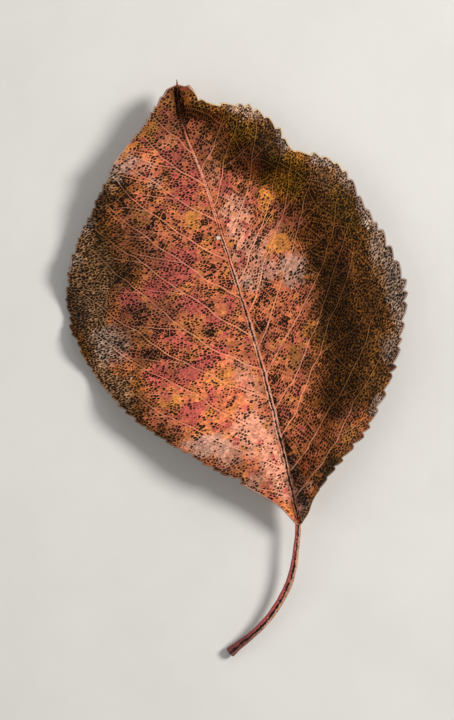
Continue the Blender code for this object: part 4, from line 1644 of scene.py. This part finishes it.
class LEAF_OT_rim(bpy.types.Operator):
    """Build the thickened rim along the toothed margin"""

    bl_idname = "leaf.rim"
    bl_label = "Rim"

    def execute(self, context):
        sizes = context.scene.leaf_sizes
        relief = leaf_layout(sizes)[2]
        right, left = toothed_margin(1, sizes), toothed_margin(-1, sizes)
        top = smooth_line(MIDRIB_LINE, BLADE_TOP), BLADE_TOP
        line = rim_line([*right, top, *left[::-1]], relief)
        mesh = tube_mesh("leaf_rim", [line], closed=True)
        paint_points(mesh)
        # Painted highlight: how pale each point of the rim is painted, as if lit.
        pale = mesh.attributes.new("pale", "FLOAT", "POINT")
        for vert in mesh.vertices:
            pale.data[vert.index].value = rim_highlight(*leaf_point(vert.co))
        add_piece("leaf_rim", mesh, rim_material(context.scene.leaf_colours))
        return {"FINISHED"}


class LEAF_OT_stalk(bpy.types.Operator):
    """Build the stalk and the midrib as one grooved rod"""

    bl_idname = "leaf.stalk"
    bl_label = "Stalk and midrib"

    def execute(self, context):
        mesh = stalk_mesh(context.scene.leaf_sizes)
        paint_points(mesh)
        add_piece("stalk_and_midrib", mesh, stalk_material(context.scene.leaf_colours))
        return {"FINISHED"}


class LEAF_OT_speck(bpy.types.Operator):
    """Build the small pale scale on the blade"""

    bl_idname = "leaf.speck"
    bl_label = "Speck"

    def execute(self, context):
        mesh = speck_mesh(context.scene.leaf_sizes)
        add_piece("pale_speck", mesh, speck_material(context.scene.leaf_colours))
        return {"FINISHED"}


class LEAF_OT_stage(bpy.types.Operator):
    """Build the floor, the studio lamps and the camera"""

    bl_idname = "leaf.stage"
    bl_label = "Stage"

    def execute(self, context):
        make_floor()
        make_lamps()
        make_camera()
        make_world()
        return {"FINISHED"}


STEPS = ("blade", "veins", "rim", "stalk", "speck", "stage")


class LEAF_PT_panel(bpy.types.Panel):
    """Sizes, colours and building steps of the leaf"""

    bl_idname = "LEAF_PT_panel"
    bl_label = "Dried Leaf"
    bl_space_type = "VIEW_3D"
    bl_region_type = "UI"
    bl_category = "Leaf"

    def draw(self, context):
        layout = self.layout
        for group in (context.scene.leaf_sizes, context.scene.leaf_colours):
            box = layout.box()
            for name in group.__annotations__:
                box.prop(group, name)
        for step in STEPS:
            layout.operator("leaf." + step)


CLASSES = (
    LeafSizes, LeafColours, LEAF_OT_blade, LEAF_OT_veins, LEAF_OT_rim, LEAF_OT_stalk,
    LEAF_OT_speck, LEAF_OT_stage, LEAF_PT_panel,
)


def register():
    """Adds the classes and hangs the sizes and colours on the scene."""
    for item in CLASSES:
        bpy.utils.register_class(item)
    bpy.types.Scene.leaf_sizes = bpy.props.PointerProperty(type=LeafSizes)
    bpy.types.Scene.leaf_colours = bpy.props.PointerProperty(type=LeafColours)


def unregister():
    """Takes away what register added."""
    del bpy.types.Scene.leaf_colours
    del bpy.types.Scene.leaf_sizes
    for item in reversed(CLASSES):
        bpy.utils.unregister_class(item)


def main():
    """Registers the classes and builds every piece."""
    register()
    for step in STEPS:
        getattr(bpy.ops.leaf, step)()


if __name__ == "__main__":
    main()
